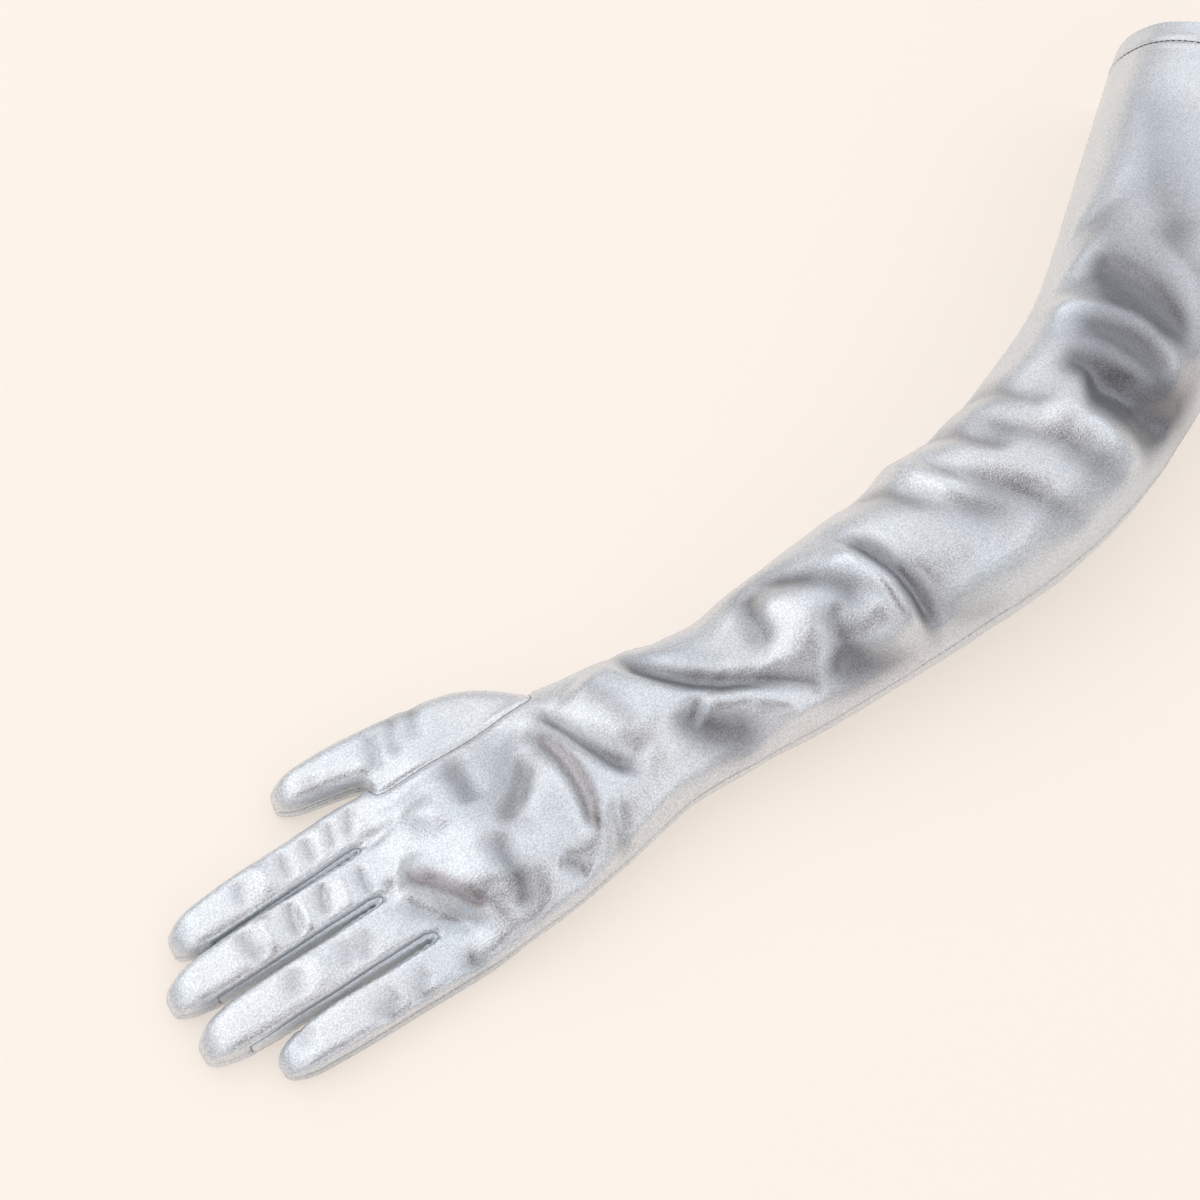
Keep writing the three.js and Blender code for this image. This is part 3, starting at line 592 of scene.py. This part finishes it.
# Fine folds: start, middle and end as x and y in millimetres seen from above, half breadth, height,
# and how much steeper the side to the left of its direction is
fineFolds = [
    [-45.0, 58.0, -48.0, 48.0, -51.0, 38.0, 3.0, -1.3, 0.0],
    [-36.0, 60.0, -39.0, 50.0, -42.0, 40.0, 2.6, -1.2, 0.0],
    [-27.0, 61.0, -30.0, 51.0, -33.0, 42.0, 2.8, -1.2, 0.0],
    [-71.4, 53.1, -73.5, 47.4, -73.4, 39.9, 4.0, -0.5, 0.0],
    [-64.2, 34.1, -69.0, 29.8, -70.7, 23.6, 2.0, -1.2, 0.0],
    [-73.9, 32.8, -77.1, 28.4, -77.4, 23.2, 2.2, -1.3, 0.0],
    [-77.1, 33.0, -79.5, 29.9, -79.5, 25.4, 1.6, 0.9, 0.0],
    [-84.1, 31.9, -86.2, 27.8, -85.3, 21.9, 2.2, -1.3, 0.0],
    [-93.2, 31.3, -96.5, 27.9, -95.3, 21.0, 2.4, -1.2, 0.0],
    [-102.3, 30.7, -104.0, 27.3, -102.8, 20.3, 2.2, 0.9, 0.0],
    [-111.3, 30.0, -113.9, 26.4, -113.9, 20.2, 2.6, -0.9, 0.0],
    [-72.6, 11.2, -75.7, 6.9, -74.0, -0.3, 2.2, -1.4, 0.0],
    [-79.5, 11.1, -82.8, 7.0, -81.5, -0.9, 1.8, 1.0, 0.0],
    [-86.2, 12.6, -90.7, 10.1, -90.6, 1.3, 2.4, -1.6, 0.1],
    [-95.3, 10.4, -98.0, 6.8, -97.2, -0.6, 1.8, 1.0, 0.0],
    [-100.1, 13.4, -103.4, 8.5, -102.6, -0.6, 2.4, -1.5, 0.0],
    [-110.8, 13.9, -113.1, 9.3, -110.5, -0.8, 2.4, 1.2, 0.0],
    [-119.3, 14.1, -120.7, 8.1, -117.2, -1.8, 2.8, -1.4, 0.0],
    [-80.6, -11.0, -85.8, -14.6, -87.9, -20.1, 3.6, -1.0, 0.0],
    [-89.4, -9.8, -93.0, -13.5, -94.0, -19.7, 3.0, -0.9, 0.0],
    [-107.9, -9.3, -112.6, -12.3, -113.8, -19.0, 4.0, -1.1, 0.0],
    [-99.1, -8.8, -103.0, -13.2, -103.3, -19.7, 3.4, 0.7, 0.0],
    [-82.5, -35.5, -88.6, -36.7, -92.5, -42.5, 4.2, -1.2, 0.0],
    [-115.3, -27.4, -118.6, -29.4, -120.0, -35.1, 4.0, -1.0, 0.0],
    [-70.1, -33.2, -76.2, -36.9, -78.1, -43.2, 3.6, -1.0, 0.0],
]
# Broad folds over the back of the hand and the forearm, in the same columns
drapes = [
    [45.7, 31.0, 48.5, 5.7, 101.0, -23.7, 4.5, -3.8, 0.0],
    [99.7, -21.6, 121.1, -29.1, 143.6, -38.7, 6.6, -2.4, 0.0],
    [99.6, 23.9, 87.1, 15.0, 90.8, -4.7, 5.5, -2.2, 0.0],
    [99.4, 22.5, 123.3, 15.5, 128.7, -13.6, 5.5, -2.5, 0.0],
    [115.6, -0.6, 113.1, -15.1, 112.1, -27.3, 6.1, -2.0, 0.0],
    [135.4, 19.8, 144.7, -6.7, 147.3, -33.8, 4.8, -4.0, 0.0],
    [128.5, 16.0, 141.7, -8.0, 136.9, -29.1, 5.4, 3.4, 0.0],
    [51.6, -1.6, 49.9, -19.9, 75.0, -26.0, 7.7, -2.8, 0.0],
    [26.7, 28.0, 30.3, 16.3, 36.1, -8.9, 11.9, 2.8, 0.0],
    [66.1, -6.7, 92.9, -18.7, 85.9, -35.8, 5.5, 1.5, 0.0],
    [-26.7, 30.2, -27.7, 18.4, -28.0, 6.4, 6.3, -2.1, 0.0],
    [-4.1, 15.4, -9.2, 3.0, -26.8, -5.2, 5.5, -2.4, 0.0],
    [-27.4, -5.3, -29.9, -20.4, -30.6, -40.1, 5.8, -2.1, 0.0],
    [-63.5, 2.7, -50.7, -8.4, -37.2, -32.7, 6.1, 3.8, 0.0],
    [-62.9, 20.7, -44.0, 22.0, -40.3, 4.0, 5.0, 1.8, 0.0],
    [-14.3, -27.3, -10.9, -30.6, -7.0, -36.3, 3.4, -1.6, 0.0],
    [1.5, 23.1, 14.7, -4.1, 0.5, -33.8, 6.1, 3.9, 0.0],
    [8.5, 28.7, 14.1, 4.7, 28.9, -18.4, 3.8, -3.5, 0.0],
    [12.7, -18.3, 11.1, -27.0, 6.8, -38.1, 3.7, -1.6, 0.0],
    [-58.9, -36.5, -57.7, -40.2, -53.4, -45.2, 4.0, -1.5, 0.0],
    [-69.4, -8.5, -55.0, -18.9, -45.2, -32.9, 4.2, -1.5, 0.0],
]
fineForm = {"steps": 16, "reach": 3, "leanShare": 0.22, "endShare": 0.3, "endStart": 0.2, "upright": 1.6}
normals = surfaceNormals()
topPoints = np.where(normals[:, 2] > 0.1)[0]
push = np.zeros(len(points))
facingUp = np.clip(normals[:, 2] * fineForm["upright"], 0, 1)
for x0, y0, x1, y1, x2, y2, breadth, rise, lip in fineFolds + drapes:
    share = np.linspace(0, 1, fineForm["steps"] + 1)[:, None]
    begin, middle, end = np.array([x0, y0]), np.array([x1, y1]), np.array([x2, y2])
    curve = mix(mix(begin, middle, share), mix(middle, end, share), share)
    flat, margin = points[topPoints][:, :2], breadth * fineForm["reach"]
    near = topPoints[np.all((flat > curve.min(0) - margin) & (flat < curve.max(0) + margin), axis=1)]
    start, run = curve[:-1], np.diff(curve, axis=0)
    offset = points[near][:, None, :2] - start[None]
    onRun = np.clip((offset * run).sum(2) / (run ** 2).sum(1), 0, 1)
    gap = offset - onRun[..., None] * run
    distance = np.linalg.norm(gap, axis=2)
    best = distance.argmin(1)
    rows = np.arange(len(near))
    place = (best + onRun[rows, best]) / fineForm["steps"]
    toEnd = np.minimum(place, 1 - place)
    left = run[best, 0] * gap[rows, best, 1] > run[best, 1] * gap[rows, best, 0]
    leaning = lip * smooth(toEnd / fineForm["leanShare"])
    width = breadth * np.where(left, 1 - leaning, 1 + leaning)
    ending = smooth(toEnd / fineForm["endShare"] + fineForm["endStart"])
    push[near] += rise * ending * nearness(distance[rows, best], width) * facingUp[near]

# Painted shade in the valleys of the folds, and a painted reflection, a warmer grey, along the crests of the
# tallest
shading = {"depth": 4.5, "least": 0.12, "fineDepth": 2.6, "fineShare": 0.9, "crestFrom": 2.3, "crestSpan": 1.1}
foldShade = np.zeros(len(points))
foldShade[body] = np.clip(-foldHeights / shading["depth"] - shading["least"], 0, 1)
foldShade = np.maximum(foldShade, np.clip(-push / shading["fineDepth"], 0, 1) * shading["fineShare"])
crestReflection = np.clip((push - shading["crestFrom"]) / shading["crestSpan"], 0, 1)

# Small unevenness of worn cloth, and the puckered groove of every seam
wrinkle = {"broad": 0.35, "broadSize": 16.0, "small": 0.1, "smallSize": 5.0,
           "seed": 7.3, "fullFrom": 3.0}
seam = {"depth": 0.55, "breadth": 0.9, "puff": 0.3, "puffAt": 2.3, "puffBreadth": 1.3,
        "pucker": 0.1, "puckerPitch": 3.4, "puckerWay": (0.94, 0.3), "puckerAt": 1.6, "puckerBreadth": 1.6,
        "crotchPuff": 2.2, "crotchPucker": 4.0, "crotchReach": 9.0}
uneven = np.array([
    wrinkle["broad"] * noise.noise(Vector(p) / wrinkle["broadSize"] + Vector((wrinkle["seed"], 0, 0)))
    + wrinkle["small"] * noise.noise(Vector(p) / wrinkle["smallSize"] + Vector((0, wrinkle["seed"], 0)))
    for p in points
])
push += uneven * np.clip(points[:, 2] / wrinkle["fullFrom"], 0, 1)
push -= seam["depth"] * nearness(seamDistance, seam["breadth"])
crotchNear = np.zeros(len(points))
for spot in crotchSpots:
    crotchNear = np.maximum(crotchNear, nearness(np.linalg.norm(points - spot, axis=1), seam["crotchReach"]))
puff = nearness(seamDistance - seam["puffAt"], seam["puffBreadth"])
push += seam["puff"] * (1 + seam["crotchPuff"] * crotchNear) * puff
puckerX, puckerY = seam["puckerWay"]
pucker = np.sin((points[:, 0] * puckerX + points[:, 1] * puckerY) * 2 * math.pi / seam["puckerPitch"])
pucker *= nearness(seamDistance - seam["puckerAt"], seam["puckerBreadth"])
push += seam["pucker"] * (1 + seam["crotchPucker"] * crotchNear) * pucker
points += normals * push[:, None]
points[:, 2] = np.maximum(points[:, 2], 0)
normals = surfaceNormals()
print("folds and seams shaped")

# Each piece of cloth with its own thickness, at the CAD node's place
milli = 0.001
pieces = {}


def clothPiece(name, thickness, proud):
    own = np.where(facePiece == pieceNumber[name])[0]
    used, local = np.unique(corners[own], return_inverse=True)
    local = local.reshape(-1, 4)
    outerSpots = points[used] + normals[used] * proud
    innerSpots = outerSpots - normals[used] * thickness
    count = len(used)
    loops, uvs = [], []
    faceLoops = [list(row[:size]) for row, size in zip(local, cornerCount[own])]
    directed = {}
    for face, uv in zip(faceLoops, cornerUv[own]):
        loops.append([int(c) for c in face])
        uvs.extend(uv[: len(face)])
        for n in range(len(face)):
            directed[(face[n], face[(n + 1) % len(face)])] = (uv[n], uv[(n + 1) % len(face)])
    for face, uv in zip(faceLoops, cornerUv[own]):
        loops.append([int(c) + count for c in reversed(face)])
        uvs.extend(uv[: len(face)][::-1])
    for (a, b), (uvA, uvB) in directed.items():
        if (b, a) not in directed:
            loops.append([int(b), int(a), int(a) + count, int(b) + count])
            uvs.extend([uvB, uvA, uvA, uvB])
    mesh = bpy.data.meshes.new(name + "_cloth")
    mesh.from_pydata((np.concatenate([outerSpots, innerSpots]) * milli).tolist(), [], loops)
    layer = mesh.uv_layers.new(name="weave")
    layer.data.foreach_set("uv", (np.array(uvs) * milli).ravel())
    measures = {"seamDistance": seamDistance, "foldShade": foldShade, "crestReflection": crestReflection}
    for label, values in measures.items():
        layer = mesh.attributes.new(label, "FLOAT", "POINT")
        layer.data.foreach_set("value", np.concatenate([values[used], values[used]]))
    mesh.polygons.foreach_set("use_smooth", [True] * len(mesh.polygons))
    mesh.normals_split_custom_set_from_vertices(np.concatenate([normals[used], -normals[used]]).tolist())
    piece = bpy.data.objects.new(name + "_cloth", mesh)
    scene.collection.objects.link(piece)
    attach(piece, "root")
    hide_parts(name)
    pieces[name] = piece


for name in pieceNames:
    if name == "hem":
        clothPiece(name, cloth["hemThickness"], cloth["hemProud"])
    else:
        clothPiece(name, cloth["thickness"], 0)
print("cloth pieces:", {name: len(piece.data.polygons) for name, piece in pieces.items()})


# A new node's inputs and settings are given by name
def nodeMaker(tree):
    def node(kind, **values):
        made = tree.nodes.new(kind)
        for key, value in values.items():
            if key in made.inputs:
                made.inputs[key].default_value = value
            else:
                setattr(made, key, value)
        return made
    return node


def satinMaterial(name, look):
    material = bpy.data.materials.new(name)
    material.use_nodes = True
    node, links = nodeMaker(material.node_tree), material.node_tree.links
    shader = material.node_tree.nodes["Principled BSDF"]
    place = node("ShaderNodeTexCoord")
    weaveUv = node("ShaderNodeUVMap", uv_map="weave")
    seamRead = node("ShaderNodeAttribute", attribute_name="seamDistance")
    tint = node("ShaderNodeTexNoise", Scale=look["tintSize"], Detail=2.0)
    links.new(place.outputs["Object"], tint.inputs["Vector"])
    tintRamp = node("ShaderNodeValToRGB")
    ends = tintRamp.color_ramp.elements
    for element, position, color in zip(ends, look["tintSpread"], (look["cool"], look["warm"])):
        element.position = position
        element.color = color
    links.new(tint.outputs["Fac"], tintRamp.inputs["Fac"])
    grain = node("ShaderNodeTexNoise", Scale=look["grainSize"], Detail=1.0)
    links.new(place.outputs["Object"], grain.inputs["Vector"])
    grainMap = node("ShaderNodeMapRange", **{"From Min": 0.35, "From Max": 0.65,
                                             "To Min": 1 - look["grain"], "To Max": 1 + look["grain"]})
    links.new(grain.outputs["Fac"], grainMap.inputs["Value"])
    grained = node("ShaderNodeVectorMath", operation="SCALE")
    links.new(tintRamp.outputs["Color"], grained.inputs[0])
    links.new(grainMap.outputs["Result"], grained.inputs["Scale"])
    seamMap = node("ShaderNodeMapRange", **{"From Max": look["seamBreadth"],
                                            "To Min": look["seamShade"], "To Max": 1.0})
    links.new(seamRead.outputs["Fac"], seamMap.inputs["Value"])
    shaded = node("ShaderNodeVectorMath", operation="SCALE")
    links.new(grained.outputs["Vector"], shaded.inputs[0])
    links.new(seamMap.outputs["Result"], shaded.inputs["Scale"])
    # Painted shade in the valleys, then a painted reflection on the crests, multiplied into the tint
    tinted = shaded.outputs["Vector"]
    for label, shade in (("foldShade", look["valley"]), ("crestReflection", look["crest"])):
        read = node("ShaderNodeAttribute", attribute_name=label)
        multiplied = node("ShaderNodeMix", data_type="RGBA", blend_type="MULTIPLY")
        multiplied.inputs[7].default_value = shade
        links.new(read.outputs["Fac"], multiplied.inputs["Factor"])
        links.new(tinted, multiplied.inputs[6])
        tinted = multiplied.outputs[2]
    links.new(tinted, shader.inputs["Base Color"])

    # Floats of the satin weave: fine threads along the cloth, crossed by finer ones
    weave = node("ShaderNodeTexWave", bands_direction="Y", Scale=look["threadScale"],
                 Distortion=1.5, Detail=1.0)
    links.new(weaveUv.outputs["UV"], weave.inputs["Vector"])
    sparkle = node("ShaderNodeTexNoise", Scale=look["sparkleSize"], Detail=2.0, Roughness=0.7)
    links.new(place.outputs["Object"], sparkle.inputs["Vector"])
    soft = node("ShaderNodeTexNoise", Scale=look["softSize"], Detail=2.0)
    links.new(place.outputs["Object"], soft.inputs["Vector"])
    softBump = node("ShaderNodeBump", Strength=look["softBump"], Distance=look["softDepth"])
    sparkleBump = node("ShaderNodeBump", Strength=look["sparkle"], Distance=look["sparkleDepth"])
    weaveBump = node("ShaderNodeBump", Strength=look["weaveBump"], Distance=look["weaveDepth"])
    links.new(soft.outputs["Fac"], softBump.inputs["Height"])
    links.new(sparkle.outputs["Fac"], sparkleBump.inputs["Height"])
    links.new(softBump.outputs["Normal"], sparkleBump.inputs["Normal"])
    links.new(weave.outputs["Fac"], weaveBump.inputs["Height"])
    links.new(sparkleBump.outputs["Normal"], weaveBump.inputs["Normal"])
    links.new(weaveBump.outputs["Normal"], shader.inputs["Normal"])

    gloss = node("ShaderNodeMapRange", **{"To Min": look["roughness"] - look["roughSpread"],
                                          "To Max": look["roughness"] + look["roughSpread"]})
    links.new(tint.outputs["Fac"], gloss.inputs["Value"])
    links.new(gloss.outputs["Result"], shader.inputs["Roughness"])
    shader.inputs["Metallic"].default_value = look["metallic"]
    shader.inputs["Sheen Weight"].default_value = look["sheen"]
    shader.inputs["Sheen Roughness"].default_value = look["sheenRoughness"]
    shader.inputs["Sheen Tint"].default_value = look["sheenTint"]
    return material


satinLook = {
    "cool": (0.67, 0.71, 0.75, 1), "warm": (0.73, 0.745, 0.765, 1),
    "tintSize": 22.0, "tintSpread": (0.3, 0.7),
    # valley: colour of the painted shade in the folds; crest: colour of the painted reflection on the crests
    "valley": (0.3, 0.29, 0.3, 1), "crest": (0.56, 0.51, 0.51, 1),
    "grainSize": 1500.0, "grain": 0.15, "seamBreadth": 0.5, "seamShade": 0.45,
    "threadScale": 400.0, "weaveBump": 0.05, "weaveDepth": 0.0003,
    "sparkleSize": 1300.0, "sparkle": 0.36, "sparkleDepth": 0.0006,
    "softSize": 60.0, "softBump": 0.1, "softDepth": 0.004, "roughness": 0.21, "roughSpread": 0.04,
    "metallic": 0.68, "sheen": 0.28, "sheenRoughness": 0.4, "sheenTint": (0.9, 0.95, 1.0, 1.0),
}
# The side strips of the fingers: a copy of the satin with less metallic, painted lighter so that the finger
# sides read as lit
litSideLook = dict(satinLook, cool=(0.72, 0.77, 0.82, 1), warm=(0.76, 0.79, 0.82, 1),
                metallic=0.3, seamShade=0.3)
satin = satinMaterial("satin", satinLook)
litSatinSide = satinMaterial("litSatinSide", litSideLook)
for name, piece in pieces.items():
    piece.data.materials.append(litSatinSide if name.startswith("fourchette") else satin)

# Stitches: a Geometry Nodes tree sets one on every step of the seam lines
stitch = {
    "seamPitch": 2.6, "seamLength": 1.7, "seamThick": 0.17,
    "hemPitch": 2.6, "hemLength": 1.5, "hemThick": 0.42,
    "lift": 0.12, "spread": 0.2, "seed": 4, "segments": 6, "rings": 4,
    "strandScale": 1800.0, "strandBump": 0.4, "strandDepth": 0.0001, "roughness": 0.55,
}


def stitchTree():
    tree = bpy.data.node_groups.new("stitches", "GeometryNodeTree")
    sockets = {"Geometry": "Geometry", "Pitch": "Float", "Length": "Float", "Thickness": "Float",
               "Spread": "Float", "Seed": "Int", "Material": "Material"}
    for name, kind in sockets.items():
        tree.interface.new_socket(name, in_out="INPUT", socket_type="NodeSocket" + kind)
    tree.interface.new_socket("Geometry", in_out="OUTPUT", socket_type="NodeSocketGeometry")
    node, links = nodeMaker(tree), tree.links
    given, made = node("NodeGroupInput"), node("NodeGroupOutput")
    line = node("GeometryNodeMeshToCurve")
    even = node("GeometryNodeResampleCurve", mode="LENGTH")
    ball = node("GeometryNodeMeshUVSphere", Segments=stitch["segments"], Rings=stitch["rings"], Radius=0.5)
    size = node("ShaderNodeCombineXYZ")
    vary = node("FunctionNodeRandomValue")
    low = node("ShaderNodeMath", operation="SUBTRACT")
    low.inputs[0].default_value = 1.0
    scaled = node("ShaderNodeVectorMath", operation="SCALE")
    tangent = node("GeometryNodeInputTangent")
    turned = node("FunctionNodeAlignRotationToVector", axis="X")
    put = node("GeometryNodeInstanceOnPoints")
    real = node("GeometryNodeRealizeInstances")
    rounded = node("GeometryNodeSetShadeSmooth")
    painted = node("GeometryNodeSetMaterial")
    links.new(given.outputs["Geometry"], line.inputs[0])
    links.new(line.outputs[0], even.inputs["Curve"])
    links.new(given.outputs["Pitch"], even.inputs["Length"])
    links.new(given.outputs["Length"], size.inputs["X"])
    links.new(given.outputs["Thickness"], size.inputs["Y"])
    links.new(given.outputs["Thickness"], size.inputs["Z"])
    links.new(given.outputs["Spread"], low.inputs[1])
    links.new(low.outputs[0], vary.inputs[2])
    vary.inputs[3].default_value = 1.0
    links.new(given.outputs["Seed"], vary.inputs["Seed"])
    links.new(size.outputs[0], scaled.inputs[0])
    links.new(vary.outputs[1], scaled.inputs["Scale"])
    links.new(tangent.outputs[0], turned.inputs["Vector"])
    links.new(even.outputs[0], put.inputs["Points"])
    links.new(ball.outputs["Mesh"], put.inputs["Instance"])
    links.new(turned.outputs[0], put.inputs["Rotation"])
    links.new(scaled.outputs[0], put.inputs["Scale"])
    links.new(put.outputs[0], real.inputs[0])
    links.new(real.outputs[0], rounded.inputs[0])
    links.new(rounded.outputs[0], painted.inputs["Geometry"])
    links.new(given.outputs["Material"], painted.inputs["Material"])
    links.new(painted.outputs[0], made.inputs[0])
    return tree


def threadMaterial(name, dark, light):
    material = bpy.data.materials.new(name)
    material.use_nodes = True
    node, links = nodeMaker(material.node_tree), material.node_tree.links
    shader = material.node_tree.nodes["Principled BSDF"]
    place = node("ShaderNodeTexCoord")
    strands = node("ShaderNodeTexNoise", Scale=stitch["strandScale"])
    ramp = node("ShaderNodeValToRGB")
    ramp.color_ramp.elements[0].color = dark
    ramp.color_ramp.elements[1].color = light
    bump = node("ShaderNodeBump", Strength=stitch["strandBump"], Distance=stitch["strandDepth"])
    links.new(place.outputs["Object"], strands.inputs["Vector"])
    links.new(strands.outputs["Fac"], ramp.inputs["Fac"])
    links.new(ramp.outputs["Color"], shader.inputs["Base Color"])
    links.new(strands.outputs["Fac"], bump.inputs["Height"])
    links.new(bump.outputs["Normal"], shader.inputs["Normal"])
    shader.inputs["Roughness"].default_value = stitch["roughness"]
    return material


def stitchPiece(kind, spots, lines, material):
    name = kind + "_stitches"
    mesh = bpy.data.meshes.new(name)
    mesh.from_pydata((spots * milli).tolist(), lines, [])
    piece = bpy.data.objects.new(name, mesh)
    scene.collection.objects.link(piece)
    sewing = piece.modifiers.new("sewing", "NODES")
    sewing.node_group = stitching
    values = {"Pitch": stitch[kind + "Pitch"] * milli, "Length": stitch[kind + "Length"] * milli,
              "Thickness": stitch[kind + "Thick"] * milli,
              "Spread": stitch["spread"], "Seed": stitch["seed"], "Material": material}
    for item in stitching.interface.items_tree:
        if item.in_out == "INPUT" and item.name in values:
            sewing[item.identifier] = values[item.name]
    sewn = bpy.data.meshes.new_from_object(piece.evaluated_get(bpy.context.evaluated_depsgraph_get()))
    piece.modifiers.remove(sewing)
    piece.data = sewn
    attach(piece, "root")
    print(name, len(sewn.polygons), "faces")


stitching = stitchTree()
seamThread = threadMaterial("seamThread", (0.2, 0.22, 0.26, 1), (0.42, 0.46, 0.52, 1))
hemThread = threadMaterial("hemThread", (0.05, 0.055, 0.07, 1), (0.14, 0.15, 0.18, 1))
hemNumber = pieceNumber["hem"]
handSeams = seamEdges[(seamPair != hemNumber).all(axis=1)]
lifted = points + normals * stitch["lift"]
stitchPiece("seam", lifted, handSeams.tolist(), seamThread)
hemRing = points[body[hemStation]] + normals[body[hemStation]] * (cloth["hemProud"] + stitch["lift"])
hemLines = [(n, (n + 1) % ringSteps) for n in range(ringSteps)]
stitchPiece("hem", hemRing, hemLines, hemThread)

# Floor and studio light
studio = {
    "floor": (0.5, 0.455, 0.415, 1),
    "floorGlow": (0.5, 0.46, 0.42, 1),
    "floorRoughness": 0.9,
    "floorSpecular": 0.1,
    "floorDrop": -0.0003,
    "floorReach": 3.0,
    "room": [(0.0, (0.9, 0.88, 0.86)), (0.12, (0.66, 0.65, 0.65)), (0.27, (0.12, 0.12, 0.135)),
             (0.43, (1.1, 1.12, 1.15)), (0.56, (1.2, 1.22, 1.25)),
             (0.74, (1.08, 1.1, 1.13)), (0.9, (0.98, 1.0, 1.03)), (1.0, (0.98, 1.0, 1.03))],
    "umbrellaAxis": (-0.265, -0.424, 0.866),
    "umbrella": [(0.9, (1.12, 1.09, 1.09)), (0.93, (1.13, 1.07, 1.06)),
                 (0.952, (0.13, 0.09, 0.08)), (1.0, (0.13, 0.09, 0.08))],
    "umbrellaShare": [(0.74, (0, 0, 0)), (0.86, (1, 1, 1))],
    "worldStrength": 1.0,
    "keyPlace": (-0.75, 1.0, 1.6),
    "keyTarget": (0.05, 0.05, 0),
    "keySize": (1.3, 1.3),
    "keyPower": 3,
    "keyColor": (1, 0.98, 0.96),
}
floorMesh = bpy.data.meshes.new("floor")
reach = studio["floorReach"]
floorSigns = ((-1, -1), (1, -1), (1, 1), (-1, 1))
floorCorners = [(signX * reach, signY * reach, studio["floorDrop"]) for signX, signY in floorSigns]
floorMesh.from_pydata(floorCorners, [], [(0, 1, 2, 3)])
floor = bpy.data.objects.new("floor", floorMesh)
scene.collection.objects.link(floor)
floorMaterial = bpy.data.materials.new("floor")
floorMaterial.use_nodes = True
floorShader = floorMaterial.node_tree.nodes["Principled BSDF"]
floorShader.inputs["Base Color"].default_value = studio["floor"]
floorShader.inputs["Emission Color"].default_value = studio["floorGlow"]
floorShader.inputs["Emission Strength"].default_value = 1.0
floorShader.inputs["Roughness"].default_value = studio["floorRoughness"]
floorShader.inputs["Specular IOR Level"].default_value = studio["floorSpecular"]
floorMesh.materials.append(floorMaterial)

world = bpy.data.worlds.new("studio")
scene.world = world
world.use_nodes = True
worldNode, worldLinks = nodeMaker(world.node_tree), world.node_tree.links
background = world.node_tree.nodes["Background"]
background.inputs["Strength"].default_value = studio["worldStrength"]
direction = worldNode("ShaderNodeTexCoord")
height = worldNode("ShaderNodeSeparateXYZ")
worldLinks.new(direction.outputs["Generated"], height.inputs["Vector"])


def worldRamp(stops):
    ramp = worldNode("ShaderNodeValToRGB")
    ramp.color_ramp.interpolation = "EASE"
    while len(ramp.color_ramp.elements) < len(stops):
        ramp.color_ramp.elements.new(0.5)
    for element, (place, color) in zip(ramp.color_ramp.elements, stops):
        element.position = place
        element.color = (*color, 1)
    return ramp


# Room: grey walls and a bright ceiling, by height of the direction
room = worldRamp(studio["room"])
worldLinks.new(height.outputs["Z"], room.inputs["Fac"])
# Bright umbrella with a darker middle, by the angle from its axis
toUmbrella = worldNode("ShaderNodeVectorMath", operation="DOT_PRODUCT")
toUmbrella.inputs[1].default_value = studio["umbrellaAxis"]
worldLinks.new(direction.outputs["Generated"], toUmbrella.inputs[0])
umbrella = worldRamp(studio["umbrella"])
share = worldRamp(studio["umbrellaShare"])
worldLinks.new(toUmbrella.outputs["Value"], umbrella.inputs["Fac"])
worldLinks.new(toUmbrella.outputs["Value"], share.inputs["Fac"])
blend = worldNode("ShaderNodeMix", data_type="RGBA")
worldLinks.new(share.outputs["Color"], blend.inputs["Factor"])
worldLinks.new(room.outputs["Color"], blend.inputs[6])
worldLinks.new(umbrella.outputs["Color"], blend.inputs[7])
worldLinks.new(blend.outputs[2], background.inputs["Color"])

# One soft box as the key light
keyData = bpy.data.lights.new("key", "AREA")
keyData.shape = "RECTANGLE"
keyData.size, keyData.size_y = studio["keySize"]
keyData.energy = studio["keyPower"]
keyData.color = studio["keyColor"]
key = bpy.data.objects.new("key", keyData)
scene.collection.objects.link(key)
key.location = studio["keyPlace"]
key.rotation_mode = "QUATERNION"
key.rotation_quaternion = (Vector(studio["keyTarget"]) - Vector(studio["keyPlace"])).to_track_quat("-Z", "Y")
scene.view_settings.view_transform = "Standard"
scene.view_settings.look = "None"
print("studio set")
